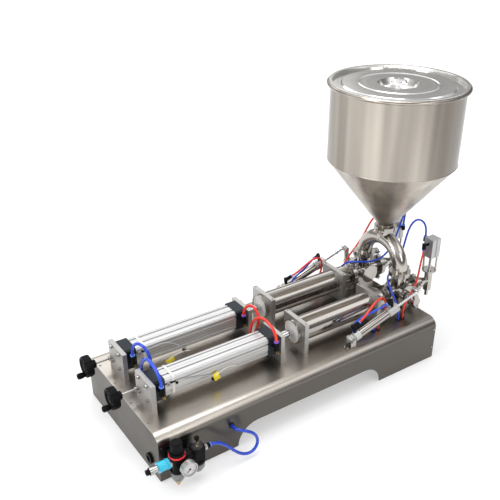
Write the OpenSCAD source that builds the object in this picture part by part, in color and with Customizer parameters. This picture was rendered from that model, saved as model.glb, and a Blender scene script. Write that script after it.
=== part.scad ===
// Pneumatic paste filling machine with two filling lanes and one shared hopper.
// X runs from the handwheels to the nozzles, -Y is the air preparation side, Z is up.
// Places are measured from the middle of the base on the table, and on_table() then
// moves every piece so that the origin is the middle of the whole machine's footprint.

/* [Base] */
// Length of the base cover
base_l = 906; // [880:1:960]
// Width of the base cover
base_w = 400; // [396:1:440]
// Height of the deck above the table
base_h = 133; // [125:1:160]
// Bend radius of the long top edges
base_r = 28; // [14:1:28]
// Thickness of the stainless sheet
sheet = 2; // [1.5:0.1:2.5]
// Width of each arch at the table
arch_l = 476; // [300:1:480]
// Height of each arch
arch_h = 60; // [40:1:64]
// Width of the flanges folded in round the end panels
flange_w = 20; // [16:1:26]
// Thickness of the rubber foot pads
pad_t = 2; // [1:0.5:4]
// Length of each foot pad along the side
pad_l = 60; // [40:1:90]

/* [Lanes] */
// Distance from the middle to each lane's axis
lane_y = 77; // [74:1:80]
// Height of the cylinder axes above the deck
axis_h = 52; // [48:1:56]
// Thickness of the aluminium plates
plate_t = 12; // [10:0.5:14]
// Width of the aluminium plates
plate_w = 85; // [84:1:92]
// Height of the aluminium plates
plate_h = 82; // [81:1:90]
// From the base's end to the rear plates
plate_inset = 30; // [26:1:36]

/* [Air cylinders] */
// Side of the square end caps
cap_w = 60; // [58:1:61]
// Length of each end cap
cap_l = 31; // [28:1:34]
// Length of the barrel between the caps
barrel_l = 300; // [290:1:306]
// Side of the barrel's profile
barrel_w = 56; // [54:1:56]
// Radius of the barrel's rounded corners
lobe_r = 10; // [6:1:12]
// Bore radius of the air cylinders
air_bore_r = 20; // [18:0.5:22]
// Radius of the piston rods
rod_r = 8; // [6:0.5:9]
// Length of the air piston
air_piston_l = 20; // [16:1:24]
// Half distance between the cap bolts
cap_bolt = 21.5; // [20:0.5:22]

/* [Paste cylinders] */
// From the front plate to the mouth of the paste cylinder
mouth_gap = 52; // [48:1:56]
// Length of the paste cylinder's tube
tube_l = 307; // [300:1:312]
// Outer radius of the paste cylinder
tube_r = 35; // [33:0.5:36]
// Wall of the paste cylinder
tube_wall = 3.5; // [2.5:0.5:4]
// Length of the white piston
piston_l = 30; // [26:1:34]
// How far the white piston sits inside the mouth at rest
piston_inset = 2; // [1:0.5:6]
// Radius of the coupling on the rod
coupling_r = 10; // [9:0.5:12]
// Thickness of the split clamps
clamp_t = 13; // [11:0.5:14]
// Width of the split clamps
clamp_w = 95; // [94:1:98]
// Height of the split clamps
clamp_h = 92; // [91:1:94]
// Gap between a clamp's halves
clamp_gap = 0.6; // [0.4:0.1:1]
// Length of the cone to the valve
cone_l = 22; // [20:1:26]

/* [Sanitary pipes] */
// Outer radius of the pipes
pipe_r = 19; // [18:0.5:19.5]
// Outer radius of the feed manifold
feed_r = 22; // [21:0.5:22.5]
// Wall of the pipes
pipe_wall = 1.5; // [1.2:0.1:2]
// Radius of the ferrules
ferrule_r = 25.25; // [25:0.25:26]
// Thickness of each ferrule
ferrule_t = 3; // [2.5:0.5:3.5]
// Outer radius of the clamp rings
ring_r = 32; // [31:0.5:33]
// Width of the clamp rings
ring_w = 13; // [12:0.5:14]
// Thickness of the gaskets
gasket_t = 0.8; // [0.6:0.1:1.2]

/* [Valves] */
// From the cylinder's clamp to the valve
valve_reach = 53; // [51:1:56]
// From the valve to the outlet clamp
outlet_reach = 59; // [57:1:62]
// From the valve's axis up to the feed clamp
feed_reach = 63; // [61:1:66]
// Outer radius of the valve bodies
valve_r = 24; // [23:0.5:24.5]
// Radius of the turning plug
plug_r = 18; // [17:0.5:19]
// Length of the bearing cover
cover_l = 31; // [28:0.5:31]
// Radius of the bearing cover
cover_r = 16; // [14:0.5:17]
// Radius of the turning shaft
shaft_r = 8; // [6:0.5:9]
// Radius from the shaft to the crank pin
crank_r = 44; // [42:1:46]
// Angle that the crank leans back at rest
crank_lean = 12; // [8:1:14]
// Length of the crank's hub
crank_hub_l = 16; // [15:0.5:20]
// Radius of the crank's hub
crank_hub_r = 13; // [12:0.5:14]
// Thickness of the crank's lever
lever_t = 7; // [6:0.5:8]

/* [Valve actuators] */
// From the valve back to the rear pivot
pivot_back = 252; // [250:1:254]
// Height of the rear pivot above the deck
pivot_h = 21; // [20:1:24]
// Radius of the actuator barrels
mini_r = 12; // [11:0.5:12]
// Length of the actuator barrels between caps
mini_l = 106; // [100:1:108]
// Radius of the actuator caps
mini_cap_r = 14; // [13:0.5:14]
// Radius of the actuator rods
mini_rod_r = 4; // [3:0.5:4.5]
// Radius of the pivot pins
pin_r = 4; // [3:0.5:4.5]
// Radius of the rod ends
eye_r = 9; // [8:0.5:10]
// Width of the rod ends
eye_w = 9; // [8:0.5:10]
// Half width of the pivot brackets
bracket_half = 12.5; // [11.5:0.5:14]
// Thickness of the pivot brackets
bracket_t = 3; // [2:0.5:4]

/* [Hopper] */
// Outer radius of the hopper's body
hopper_r = 180; // [170:1:181]
// Height of the hopper's straight wall
hopper_wall_h = 212; // [180:1:230]
// Height of the hopper's cone
hopper_cone_h = 200; // [190:1:220]
// Height of the neck below the cone
neck_h = 10; // [8:1:14]
// Radius of the rolled rim
rim_roll = 5.5; // [4:0.5:6]
// Wall of the hopper
hopper_wall = 2; // [1.5:0.1:2.5]
// Depth of the lid's outer channel below the rim
lid_sink = 9; // [6:0.5:12]
// Width of the lid's outer channel
lid_band = 24; // [18:1:30]
// Radius of the lid's dish
dish_r = 58; // [50:1:64]
// Depth of the lid's dish below the rim
dish_sink = 22; // [18:1:26]
// Thickness of the lid's sheet
lid_t = 1.5; // [1:0.1:2]
// Radius of the lid's knob
knob_r = 23; // [18:1:26]

/* [Nozzles] */
// From the outlet clamp to the nozzle
nozzle_reach = 67; // [65:1:70]
// Radius of the nozzle bodies
nozzle_r = 12.5; // [12:0.5:13]
// Radius of the nozzle tips
tip_r = 5.5; // [5.5:0.25:7]
// Bore radius of the nozzle tips
tip_bore_r = 4; // [3:0.25:4]
// Height of a nozzle's outlet above the table
tip_z = 131; // [128:1:134]
// Side of the small square cylinders
small_w = 34; // [32:1:36]
// Height of the small square cylinders
small_h = 60; // [56:1:66]
// Height of the posts under the small cylinders
post_h = 45; // [42:1:48]
// Radius of the round flanges under the posts
flange_r = 22; // [22:0.5:24]

/* [Handwheels] */
// Radius of the adjusting screws
screw_r = 4; // [3:0.5:4.5]
// Radius of the handwheels
wheel_r = 28.5; // [26:0.5:32]
// Thickness of the handwheels
wheel_t = 20; // [16:1:22]
// Free length of screw between plate and handwheel
screw_free = 43; // [40:1:48]
// Length of the revolving grips
grip_l = 20; // [17:1:26]
// Radius of the revolving grips
grip_r = 8; // [7:0.5:9]

/* [Air preparation] */
// From the front panel to the regulator's axis
frl_out = 35; // [34:1:38]
// Height of the air ports above the table
port_z = 85; // [82:1:88]
// Distance between regulator and lubricator
frl_pitch = 53; // [52:1:56]
// Half width of the regulator's body
reg_half = 16; // [15:0.5:16.5]
// Radius of the clear bowls
bowl_r = 17; // [16:0.5:17.5]
// Radius of the pressure gauge
gauge_r = 20; // [18:0.5:21]
// Travel of the slide valve's sleeve
sleeve_travel = 10; // [8:1:11]

/* [Hoses] */
// Outer radius of the supply and cylinder hoses
hose_r = 4; // [3:0.5:4]
// Outer radius of the thin hoses
thin_r = 3; // [2:0.5:3]
// Outer radius of the sensor cables
cable_r = 1.5; // [1:0.25:1.5]

/* [Hidden] */
$fn = 64;
run = 0.05;
ease = 0.3;
seat = 0.02;
deck = base_h;
axis_z = deck + axis_h;
plate_x = -base_l/2 + plate_inset;
cap_x = plate_x + plate_t;
barrel_x = cap_x + cap_l;
front_cap_x = barrel_x + barrel_l;
front_x = front_cap_x + cap_l;
mouth_x = front_x + plate_t + mouth_gap;
tube_end = mouth_x + tube_l;
clamp_xs = [mouth_x + 10, tube_end - 26 - clamp_t];
joint_x = tube_end + cone_l + 9;
valve_x = joint_x + valve_reach;
outlet_x = valve_x + outlet_reach;
nozzle_x = outlet_x + nozzle_reach;
bore_r = tube_r - tube_wall;
coupling_x = mouth_x - 32;
// The small gap between two ferrules holds the gasket
half_joint = gasket_t/2;
// Valve body along Y, measured from the lane's axis
plug_half = 21;
plug_room = 1;
cap_t = 4;
cap_in = plug_half + plug_room + 11;
cover_joint = 32;
cover_end = cover_joint + half_joint + cover_l;
cover_ferrule_r = valve_r + 3.5;
cover_ring_r = cover_ferrule_r + 5.5;
port_r = pipe_r - pipe_wall - 2;
blade_z = 7;
// Feed manifold: a half ring on top of the two valves
feed_z = axis_z + feed_reach;
arch_z = feed_z + half_joint + ferrule_t + 1;
neck_joint_z = arch_z + lane_y + feed_r + 12;
neck_z = neck_joint_z + half_joint;
cone_z = neck_z + neck_h;
wall_z = cone_z + hopper_cone_h;
rim_z = wall_z + hopper_wall_h;
// Crank and actuator: the rod end runs in its own plane outside the lever
hub_gap = 0.6;
washer_t = 1.5;
eye_gap = 0.5;
lever_out = cover_end + hub_gap + crank_hub_l;
eye_y = lane_y + lever_out + washer_t + eye_gap + eye_w/2;
pivot_x = valve_x - pivot_back;
pivot_z = deck + pivot_h;
pin_x = valve_x - crank_r*sin(crank_lean);
pin_z = axis_z + crank_r*cos(crank_lean);
reach = norm([pin_x - pivot_x, pin_z - pivot_z]);
tilt = atan2(pin_z - pivot_z, pin_x - pivot_x);
lug_r = 8;
mini_cap_x = 12;
mini_cap_l = 18;
mini_wall = 1.5;
mini_tube_x = mini_cap_x + mini_cap_l;
mini_front_x = mini_tube_x + mini_l;
mini_front_l = 35;
shank_l = 20;
shank_r = 6;
elbow_up = 17;
// Adjusting screw beside each air cylinder
shoulder_r = 5.5;
screw_y = cap_w/2 + shoulder_r + 0.5;
screw_dz = -22;
hub_l = 12;
hub_r = 11;
wheel_x = plate_x - screw_free - hub_l - wheel_t;
grip_gap = 0.4;
grip_drop = wheel_r - 10;
grip_side = -5;
spindle_r = 3;
slot_dz = 12;
slot_w = 5;
slot_d = 3;
slide_l = 22;
// Fittings and switches of the air cylinders
elbow_rise = 17;
switch_x = barrel_x + 28;
switch_l = 24;
// Nozzle heights
nozzle_z = tip_z + 21;
flange_z = nozzle_z + 64;
flange_t = 4;
post_r = 3;
post_at = small_w/2 - post_r - 1;
post_z = flange_z + flange_t;
small_z = post_z + post_h;
small_bore_r = 11;
small_floor = 8;
port_up = small_h - 17;
rim_x = hopper_r + rim_roll - 0.5;
// Air preparation places
frl_y = -base_w/2 - frl_out;
reg_x = -base_l/2 + 29;
lub_x = reg_x + frl_pitch;
body_z = port_z - 25;
body_top = port_z + 13;
valve_end = reg_x - reg_half;
sleeve_r = 13;
gauge_x = reg_x + 12;
gauge_z = port_z - 8;
gauge_face = frl_y - reg_half - 24;
gauge_t = 14;
bonnet_h = 12;
dome_h = 14;
knob_side = 14.5;
bowl_l = 40;
bowl_grip = 5;
drain_stem_r = 3;
hex_t = 6;
slide_tube_r = 8;
sleeve_l = 28;
// Bolts of the plates and clamps, each with its length in the thing that it holds
bolt_r = 3;
bolt_grip = 14;
bolt_head_r = 5;
bolt_head_h = 5.5;
clamp_bolt_y = (tube_r + clamp_w/2)/2;
clamp_seat = clamp_h - axis_h - 6;
// Screws of the base
thread_r = 1.5;
head_r = 2.75;
head_h = 1.8;
deck_screw_ys = [-138, -46, 46, 138];
side_screw_zs = [40, 100];
screw_in = 8;
// Inside and ends of the base
arch_mid = 3;
pad_edge = 12;
socket_at = [-base_l/2, -base_w/2 + 50, 39];
socket_r = 14;
socket_lip = 3;
bank_x = 60;
bank_l = 200;
bank_w = 50;
bank_h = 18;
// Middle of the whole machine's footprint
foot_x = (wheel_x - grip_gap - grip_l + valve_x + rim_x + rim_roll)/2;
foot_y = (gauge_face + base_w/2 + head_h)/2;

// Holes in the deck for the hoses, as [x, y, hose radius], the lanes' own ones on both sides
blue_holes = [[-396, -8, hose_r], [-372, -4, hose_r]];
red_holes = [[-74, -8, hose_r], [-56, 0, hose_r]];
lane_holes = [[256, -144, thin_r], [272, -144, thin_r], [356, -139, thin_r], [372, -139, thin_r]];
cable_holes = [[-230, -77, cable_r]];
// Hole in the front panel for the supply hose
supply_x = -base_l/2 + 199;
supply_z = 78;
grommet_lip = 4;
grommet_wall = 2.5;

// Routes of the hoses, chosen by hand, those of the lanes for the near side. They were
// drawn for this length, width and height of the base, and move with the plates and ports.
drawn_base = [906, 400, 133];
route_shift = [(drawn_base[0] - base_l)/2, 0, base_h - drawn_base[2]];
supply_shift = [route_shift[0], (drawn_base[1] - base_w)/2, 0];
supply_route = [[-338, -235, 85], [-318, -235, 85], [-296, -240, 66], [-276, -245, 40], [-250, -248, 20],
    [-224, -244, 24], [-212, -236, 46], [-222, -224, 68], [-242, -212, 77], [-254, -206, 78],
    [-254, -190, 78]];
blue_routes = [
    [[-396, -120, 205], [-396, -120, 222], [-396, -102, 242], [-396, -66, 252], [-396, -32, 238],
        [-396, -12, 205], [-396, -8, 165], [-396, -8, 125]],
    [[-396, 34, 205], [-396, 34, 222], [-390, 18, 246], [-381, -8, 248], [-375, -14, 216],
        [-372, -8, 170], [-372, -4, 142], [-372, -4, 125]]];
red_routes = [
    [[-65, -120, 205], [-65, -120, 222], [-66, -104, 243], [-69, -68, 255], [-73, -34, 240],
        [-75, -14, 200], [-74, -8, 160], [-74, -8, 125]],
    [[-65, 34, 205], [-65, 34, 220], [-62, 16, 244], [-57, -10, 243], [-54, -14, 208],
        [-55, -3, 165], [-56, 0, 142], [-56, 0, 125]]];
actuator_red = [[185.5, -156, 194], [208, -153, 202], [240, -147, 223], [270, -144, 235],
    [289, -144, 218], [288, -144, 180], [272, -144, 150], [272, -144, 125]];
actuator_blue = [[280, -164, 225], [260, -160, 219], [230, -150, 202], [200, -145, 188],
    [180, -144, 174], [184, -144, 158], [226, -144, 150], [256, -144, 142], [256, -144, 125]];
nozzle_red = [[497, -77, 296], [497, -77, 280], [474, -90, 248], [438, -120, 221], [396, -136.5, 206],
    [372, -137.5, 168], [372, -139, 125]];
nozzle_blue = [[532, -47, 316], [532, -47, 336], [516, -28, 356], [492, -20, 312], [462, -26, 254],
    [420, -36, 229], [370, -58, 228], [354, -104, 220], [356, -139, 160], [356, -139, 125]];
// The far lane's red hose leaves its nozzle cylinder upwards
far_nozzle_red = [[497, -77, 320], [497, -77, 335], [474, -96, 327], [450, -114, 297],
    [430, -125, 266], [412, -132, 232], [392, -136.5, 206], [372, -137.5, 168], [372, -139, 125]];
cable_routes = [
    [[-351.6, -106.8, 197], [-325, -107, 194], [-280, -107, 180], [-240, -108, 168], [-222, -102, 150],
        [-227, -84, 148], [-230, -77, 140], [-230, -77, 125]],
    [[-351.6, 47.2, 197], [-336, 46.5, 198], [-312, 36, 212], [-270, 34, 188], [-240, 44, 156],
        [-232, 66, 148], [-230, 77, 140], [-230, 77, 125]]];

// Moves a piece from the base's frame to the machine's frame
module on_table() translate([-foot_x, -foot_y, 0]) children();

// Rods and holes along X and Y between two places
module rod_x(x0, x1, r) translate([x0, 0, 0]) rotate([0, 90, 0]) cylinder(h = x1 - x0, r = r);
module rod_y(y0, y1, r) translate([0, y0, 0]) rotate([-90, 0, 0]) cylinder(h = y1 - y0, r = r);
module rod_z(z0, z1, r) translate([0, 0, z0]) cylinder(h = z1 - z0, r = r);

// Places things on a lane's axis: plain keeps the side, mirrored turns the far lane round
module plain_lane(side) translate([0, side*lane_y, axis_z]) children();
module mirrored_lane(side) mirror([0, side > 0 ? 1 : 0, 0]) translate([0, -lane_y, axis_z]) children();
module both_lanes() for (side = [-1, 1]) plain_lane(side) children();
module both_mirrored() for (side = [-1, 1]) mirrored_lane(side) children();
module four(dy, dz) for (y = [-dy, dy], z = [-dz, dz]) translate([0, y, z]) children();

// A hose swept along its route, with its rings carried on without twist
function unit(v) = v/norm(v);
function heading(p, i) = unit(p[min(i + 1, len(p) - 1)] - p[max(i - 1, 0)]);
function square_to(v, t) = unit(v - (v*t)*t);
function sides_of(p, i = 0, u = [0.3, 0.2, 0.9]) = let (v = square_to(u, heading(p, i)))
    i == len(p) - 1 ? [v] : concat([v], sides_of(p, i + 1, v));
function ring_points(p, r, n) = let (us = sides_of(p)) [for (i = [0:len(p) - 1])
    let (t = heading(p, i), w = cross(t, us[i])) for (k = [0:n - 1])
        p[i] + r*(us[i]*cos(360*k/n) + w*sin(360*k/n))];
function skin_faces(m, n) = concat([[for (k = [n - 1:-1:0]) k]],
    [for (i = [0:m - 2], k = [0:n - 1]) let (a = i*n + k, b = i*n + (k + 1) % n) [a, b, b + n]],
    [for (i = [0:m - 2], k = [0:n - 1]) let (a = i*n + k, b = i*n + (k + 1) % n) [a, b + n, a + n]],
    [[for (k = [0:n - 1]) (m - 1)*n + k]]);
module hose(route, r, n = 8) polyhedron(points = ring_points(route, r, n),
    faces = [for (f = skin_faces(len(route), n)) [for (j = [len(f) - 1:-1:0]) f[j]]]);

// Cross section of the base, drawn in a given distance
module base_section(inset) {
    half = base_w/2 - inset;
    flat = base_w/2 - base_r;
    translate([-half, pad_t]) square([2*half, base_h - base_r - pad_t]);
    translate([-flat, pad_t]) square([2*flat, base_h - inset - pad_t]);
    for (s = [-1, 1]) translate([s*flat, base_h - base_r]) circle(base_r - inset);
}

// Turns a section drawn in Y and Z into a bar along X
module bar_x(x0, x1) translate([x0, 0, 0]) rotate([90, 0, 90]) linear_extrude(x1 - x0) children();

// Places of the small screws that hold the base together
module deck_screws() for (s = [-1, 1], y = deck_screw_ys)
    translate([s*(base_l/2 - screw_in), y, base_h]) children();
module side_screws() for (s = [-1, 1], side = [-1, 1], z = side_screw_zs)
    translate([s*(base_l/2 - screw_in), side*base_w/2, z]) rotate([-90*side, 0, 0]) children();

// Places of the hose holes in the deck, where $tube is the hose's radius
module deck_hole(h) translate([h[0] + route_shift[0], h[1], deck]) children();
module deck_holes() {
    for (h = concat(blue_holes, red_holes), $tube = [h[2]]) deck_hole(h) children();
    for (s = [0, 1], h = concat(lane_holes, cable_holes), $tube = [h[2]]) mirror([0, s, 0])
        deck_hole(h) children();
}

// Folded sheet over the whole length, open below and at both ends
module base_cover() color("silver") on_table() difference() {
    bar_x(-base_l/2, base_l/2) base_section(0);
    bar_x(-base_l/2 - 1, base_l/2 + 1) base_section(sheet);
    translate([-base_l, -base_w/2 + sheet, 0]) cube([2*base_l, base_w - 2*sheet, 2*pad_t]);
    rotate([90, 0, 0]) linear_extrude(base_w + 2, center = true) arch_section();
    deck_holes() rod_z(-sheet - 1, 1, $tube + grommet_wall);
    translate([supply_x, -base_w/2, supply_z]) rod_y(-1, sheet + 1, hose_r + grommet_wall);
    deck_screws() rod_z(-sheet - 1, 1, thread_r + seat);
    side_screws() rod_z(-sheet - 1, 1, thread_r + seat);
}

// Cut-out between the feet of the front and back panels
module arch_section() {
    half = arch_l/2 - arch_h;
    translate([arch_mid - half, -1]) square([2*half, arch_h + 1]);
    for (s = [-1, 1]) translate([arch_mid + s*half, 0]) circle(arch_h);
}

// End panels as shallow trays, with flanges that the small screws hold
module end_panels() color("silver") on_table() for (s = [0, 1]) mirror([s, 0, 0])
    difference() {
        bar_x(-base_l/2, -base_l/2 + flange_w) base_section(sheet + ease);
        bar_x(-base_l/2 + sheet, -base_l/2 + flange_w + 1) intersection() {
            base_section(2*sheet + ease);
            translate([-base_w, pad_t + sheet]) square([2*base_w, base_h]);
        }
        deck_screws() rod_z(-3*sheet, 0, thread_r + seat);
        side_screws() rod_z(-3*sheet, 0, thread_r + seat);
        if (s == 0) translate(socket_at) rod_x(-1, sheet + 1, socket_r - socket_lip);
    }

// Rubber pads under the end panels' lower flanges
module foot_pads() color("black") on_table() for (s = [-1, 1], side = [-1, 1])
    translate([s*(base_l/2 - flange_w/2 - 1), side*(base_w/2 - pad_edge - pad_l/2), pad_t/2])
        cube([flange_w - 4, pad_l, pad_t], center = true);

// Socket for the foot switch in the left end panel, with its contacts
module end_socket() color("dimgray") on_table() translate(socket_at) {
    difference() {
        union() {
            rod_x(-5, 0, socket_r);
            rod_x(-0.1, 22, socket_r - socket_lip - ease);
        }
        rod_x(-6, 14, socket_r - 6);
    }
    for (a = [0:90:270]) rotate([a, 0, 0]) translate([0, 0, 4]) rod_x(4, 14.1, 1);
}

// Rubber rings where the hoses pass through the sheet
module hose_grommets() color("black") on_table() {
    deck_holes() grommet($tube);
    translate([supply_x, -base_w/2, supply_z]) rotate([90, 0, 0]) grommet(hose_r);
}
module grommet(tube) difference() {
    union() {
        rod_z(0, 2, tube + grommet_lip);
        rod_z(-sheet - 2, 0.1, tube + grommet_wall - seat);
    }
    rod_z(-sheet - 3, 3, tube + 0.2);
}

// Air valves under the deck: a manifold bar with four valve blocks and their port plugs
module valve_bank() color("lightgray") on_table()
    translate([bank_x + route_shift[0], 0, deck - sheet - bank_h]) {
    valve_pitch = bank_l/4 - 2;
    translate([-bank_l/2, -bank_w/2, 0]) cube([bank_l, bank_w, bank_h]);
    for (i = [-1.5:1.5]) translate([i*valve_pitch, 0, 0]) {
        translate([-18, -22, -24]) cube([36, 44, 24.1]);
        for (s = [0, 1]) mirror([0, s, 0]) translate([0, bank_w/2, bank_h/2]) rod_y(-0.1, 5, 6);
    }
}

// Plate that carries an air cylinder, with its bolt holes and the adjusting screw's hole
module cylinder_plate(x) difference() {
    translate([x, -plate_w/2, -axis_h]) cube([plate_t, plate_w, plate_h]);
    four(cap_bolt, cap_bolt) rod_x(x - 1, x + plate_t + 1, bolt_r + run);
    translate([0, screw_y, screw_dz]) rod_x(x - 1, x + plate_t + 1, screw_r + run);
}
module rear_plates() color("silver") on_table() both_lanes() cylinder_plate(plate_x);
module front_plates() color("silver") on_table() both_lanes() difference() {
    cylinder_plate(front_x);
    rod_x(front_x - 1, front_x + plate_t + 1, rod_r + 1.5);
}

// Extruded barrel with rounded corners and two sensor slots in each side
module barrel_section() difference() {
    union() {
        half = barrel_w/2;
        square([barrel_w, barrel_w - 2*lobe_r], center = true);
        square([barrel_w - 2*lobe_r, barrel_w], center = true);
        for (y = [-1, 1], z = [-1, 1]) translate([y*(half - lobe_r), z*(half - lobe_r)]) circle(lobe_r);
    }
    circle(air_bore_r);
    for (a = [0:90:270], s = [-1, 1]) rotate(a) translate([barrel_w/2 - slot_d, s*slot_dz - slot_w/2])
        square([slot_d + 1, slot_w]);
}
module air_cylinders() color("gainsboro") on_table() both_lanes() bar_x(barrel_x, front_cap_x)
    barrel_section();

// Square with its corners cut off
module cut_square(w, cut) difference() {
    square(w, center = true);
    for (a = [0:90:270]) rotate(a) translate([w/2, w/2]) rotate(45) square(cut*sqrt(2), center = true);
}
module cylinder_caps() color([0.18, 0.2, 0.22]) on_table() both_lanes() {
    difference() {
        bar_x(cap_x, barrel_x) cut_square(cap_w, 4);
        four(cap_bolt, cap_bolt) rod_x(cap_x - 1, cap_x + bolt_grip + 1, bolt_r + run);
    }
    difference() {
        bar_x(front_cap_x, front_x) cut_square(cap_w, 4);
        rod_x(front_cap_x - 1, front_x + 1, rod_r + run);
        four(cap_bolt, cap_bolt) rod_x(front_x - bolt_grip - 1, front_x + 1, bolt_r + run);
    }
}

// Push-in elbow on a face that looks along -Y: its collar looks up, at the given rise
module elbow(out, rise, tube) {
    rod_y(-out, 0, 4);
    translate([0, -out, 0]) rod_z(-tube - 3, rise - 2, tube + 3);
    translate([0, -out, 0]) rod_z(rise - 9, rise, tube + 1.8);
}
// Elbows and brass cushion screws of the air cylinders, and the fixed switches in their slots
module cylinder_fittings() color([0.12, 0.12, 0.14]) on_table() both_lanes() {
    for (x = [cap_x + cap_l/2, front_cap_x + cap_l/2]) translate([x, -cap_w/2, 0]) {
        translate([0, 0, 3]) elbow(13, elbow_rise, hose_r);
        translate([6, 0, -16]) {
            rod_y(-8, 0, 3.5);
            rod_y(-14, -7.9, 2.2);
        }
    }
    translate([switch_x - switch_l, -barrel_w/2 - 2.5, slot_dz - 2]) cube([switch_l, slot_d + 1.5, 4]);
}
module sensor_cables() color("lightgray") on_table() translate(route_shift)
    for (r = cable_routes) hose(r, cable_r);

// Moving rod with its air piston at the rear and the coupling in front
module piston_rod(side) color("silver") on_table() plain_lane(side) {
    head_x = barrel_x + 6;
    rod_x(head_x, head_x + air_piston_l, air_bore_r - run);
    rod_x(head_x + air_piston_l - 0.1, coupling_x, rod_r);
    rod_x(coupling_x - 6, coupling_x + 0.1, coupling_r - 1);
    rod_x(coupling_x, mouth_x - 4, coupling_r);
    rod_x(mouth_x - 4.1, mouth_x + piston_inset, coupling_r - 3);
}
module near_piston_rod() piston_rod(-1);
module far_piston_rod() piston_rod(1);

// White piston with two seal grooves and a shallow recess in its face
module paste_piston(side) color("white") on_table() plain_lane(side)
    translate([mouth_x + piston_inset, 0, 0]) difference() {
        rod_x(0, piston_l, bore_r - run);
        for (x = [7, piston_l - 11]) difference() {
            rod_x(x, x + 4, bore_r + 1);
            rod_x(x - 1, x + 5, bore_r - 2.5);
        }
        difference() {
            rod_x(-1, 1.5, bore_r - 7);
            rod_x(-2, 2, coupling_r + 2);
        }
    }
module near_paste_piston() paste_piston(-1);
module far_paste_piston() paste_piston(1);

// Paste cylinder: tube, cone and ferrule in one turned piece
module paste_cylinder(side) color("silver") on_table() plain_lane(side) {
    cone_end = tube_end + cone_l;
    end_x = joint_x - half_joint;
    inner = pipe_r - pipe_wall;
    rotate([0, 90, 0]) rotate_extrude() polygon([
        [bore_r + 1, mouth_x], [tube_r, mouth_x], [tube_r, tube_end], [pipe_r, cone_end],
        [pipe_r, end_x - ferrule_t], [ferrule_r, end_x - ferrule_t], [ferrule_r, end_x],
        [inner, end_x], [inner, cone_end], [bore_r, tube_end], [bore_r, mouth_x + 1]]);
}
module near_paste_cylinder() paste_cylinder(-1);
module far_paste_cylinder() paste_cylinder(1);

// Split clamps round the paste cylinders, the upper halves bolted down from the top
module clamp_half(x, z0, z1) difference() {
    translate([x, -clamp_w/2, z0]) cube([clamp_t, clamp_w, z1 - z0]);
    rod_x(x - 1, x + clamp_t + 1, tube_r + run);
    for (s = [-1, 1]) translate([x + clamp_t/2, s*clamp_bolt_y, 0]) {
        rod_z(-bolt_grip - 1, clamp_h, bolt_r + run);
        rod_z(clamp_seat, clamp_h, bolt_head_r + run);
    }
}
module split_clamps() color("silver") on_table() both_lanes() for (x = clamp_xs) {
    clamp_half(x, -axis_h, -clamp_gap/2);
    clamp_half(x, clamp_gap/2, clamp_h - axis_h);
}

// Socket screw along X with its head's seat at x, reaching back into the thing that it holds
module socket_bolt(grip) difference() {
    union() {
        rod_x(0, bolt_head_h, bolt_head_r);
        rod_x(-grip, 0.1, bolt_r);
    }
    translate([bolt_head_h - 3, 0, 0]) rotate([0, 90, 0]) cylinder(h = 4, r = 2.6, $fn = 6);
}
module button_screw() {
    rod_z(0, head_h, head_r);
    rod_z(-2*sheet - ease - 2, 0.1, thread_r);
}
module screws_and_bolts() color("lightgray") on_table() {
    both_lanes() {
        four(cap_bolt, cap_bolt) {
            translate([plate_x, 0, 0]) rotate(180) socket_bolt(plate_t + bolt_grip);
            translate([front_x + plate_t, 0, 0]) socket_bolt(plate_t + bolt_grip);
        }
        for (x = clamp_xs, s = [-1, 1]) translate([x + clamp_t/2, s*clamp_bolt_y, clamp_seat])
            rotate([0, -90, 0]) socket_bolt(clamp_seat + bolt_grip);
    }
    deck_screws() button_screw();
    side_screws() button_screw();
}

// Three-way valve: body along Y with a blind inner end, and ferrules to its three pipes
module valve_body(side) color("silver") on_table() mirrored_lane(side) translate([valve_x, 0, 0]) {
    joint_y = -cover_joint + half_joint;
    difference() {
        union() {
            rod_y(joint_y, cap_in, valve_r);
            rod_y(joint_y, joint_y + ferrule_t, cover_ferrule_r);
            rod_y(cap_in - cap_t, cap_in, valve_r + cap_t);
            rotate([0, -90, 0]) branch(valve_reach - half_joint, pipe_r);
            rotate([0, 90, 0]) branch(outlet_reach - half_joint, pipe_r);
            branch(feed_reach - half_joint, feed_r);
        }
        rod_y(-cover_joint - 1, plug_half + plug_room, plug_r);
        rod_x(-valve_reach - 1, outlet_reach + 1, port_r);
        rod_z(0, feed_reach + 1, port_r);
    }
    // Cover with the shaft's bearing
    difference() {
        union() {
            rod_y(-cover_joint - half_joint - ferrule_t, -cover_joint - half_joint, cover_ferrule_r);
            rod_y(-cover_end, -cover_joint - half_joint, cover_r);
        }
        rod_y(-cover_end - 1, 0, shaft_r + run);
    }
}
// Pipe along Z that ends in a ferrule
module branch(l, r) {
    rod_z(0, l, r);
    rod_z(l - ferrule_t, l, ferrule_r);
}
module near_valve_body() valve_body(-1);
module far_valve_body() valve_body(1);

// Plug cut down to a blade that closes the feed at rest and the outlet after a quarter turn
module valve_rotor(side) color("dimgray") on_table() mirrored_lane(side) translate([valve_x, 0, 0]) {
    difference() {
        rod_y(-plug_half, plug_half, plug_r - run);
        translate([-plug_r, -port_r, -plug_r]) cube([2*plug_r, 2*port_r, plug_r + blade_z]);
    }
    rod_y(-lever_out, -plug_half + 0.1, shaft_r);
    rotate([0, -crank_lean, 0]) crank();
}
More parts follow.
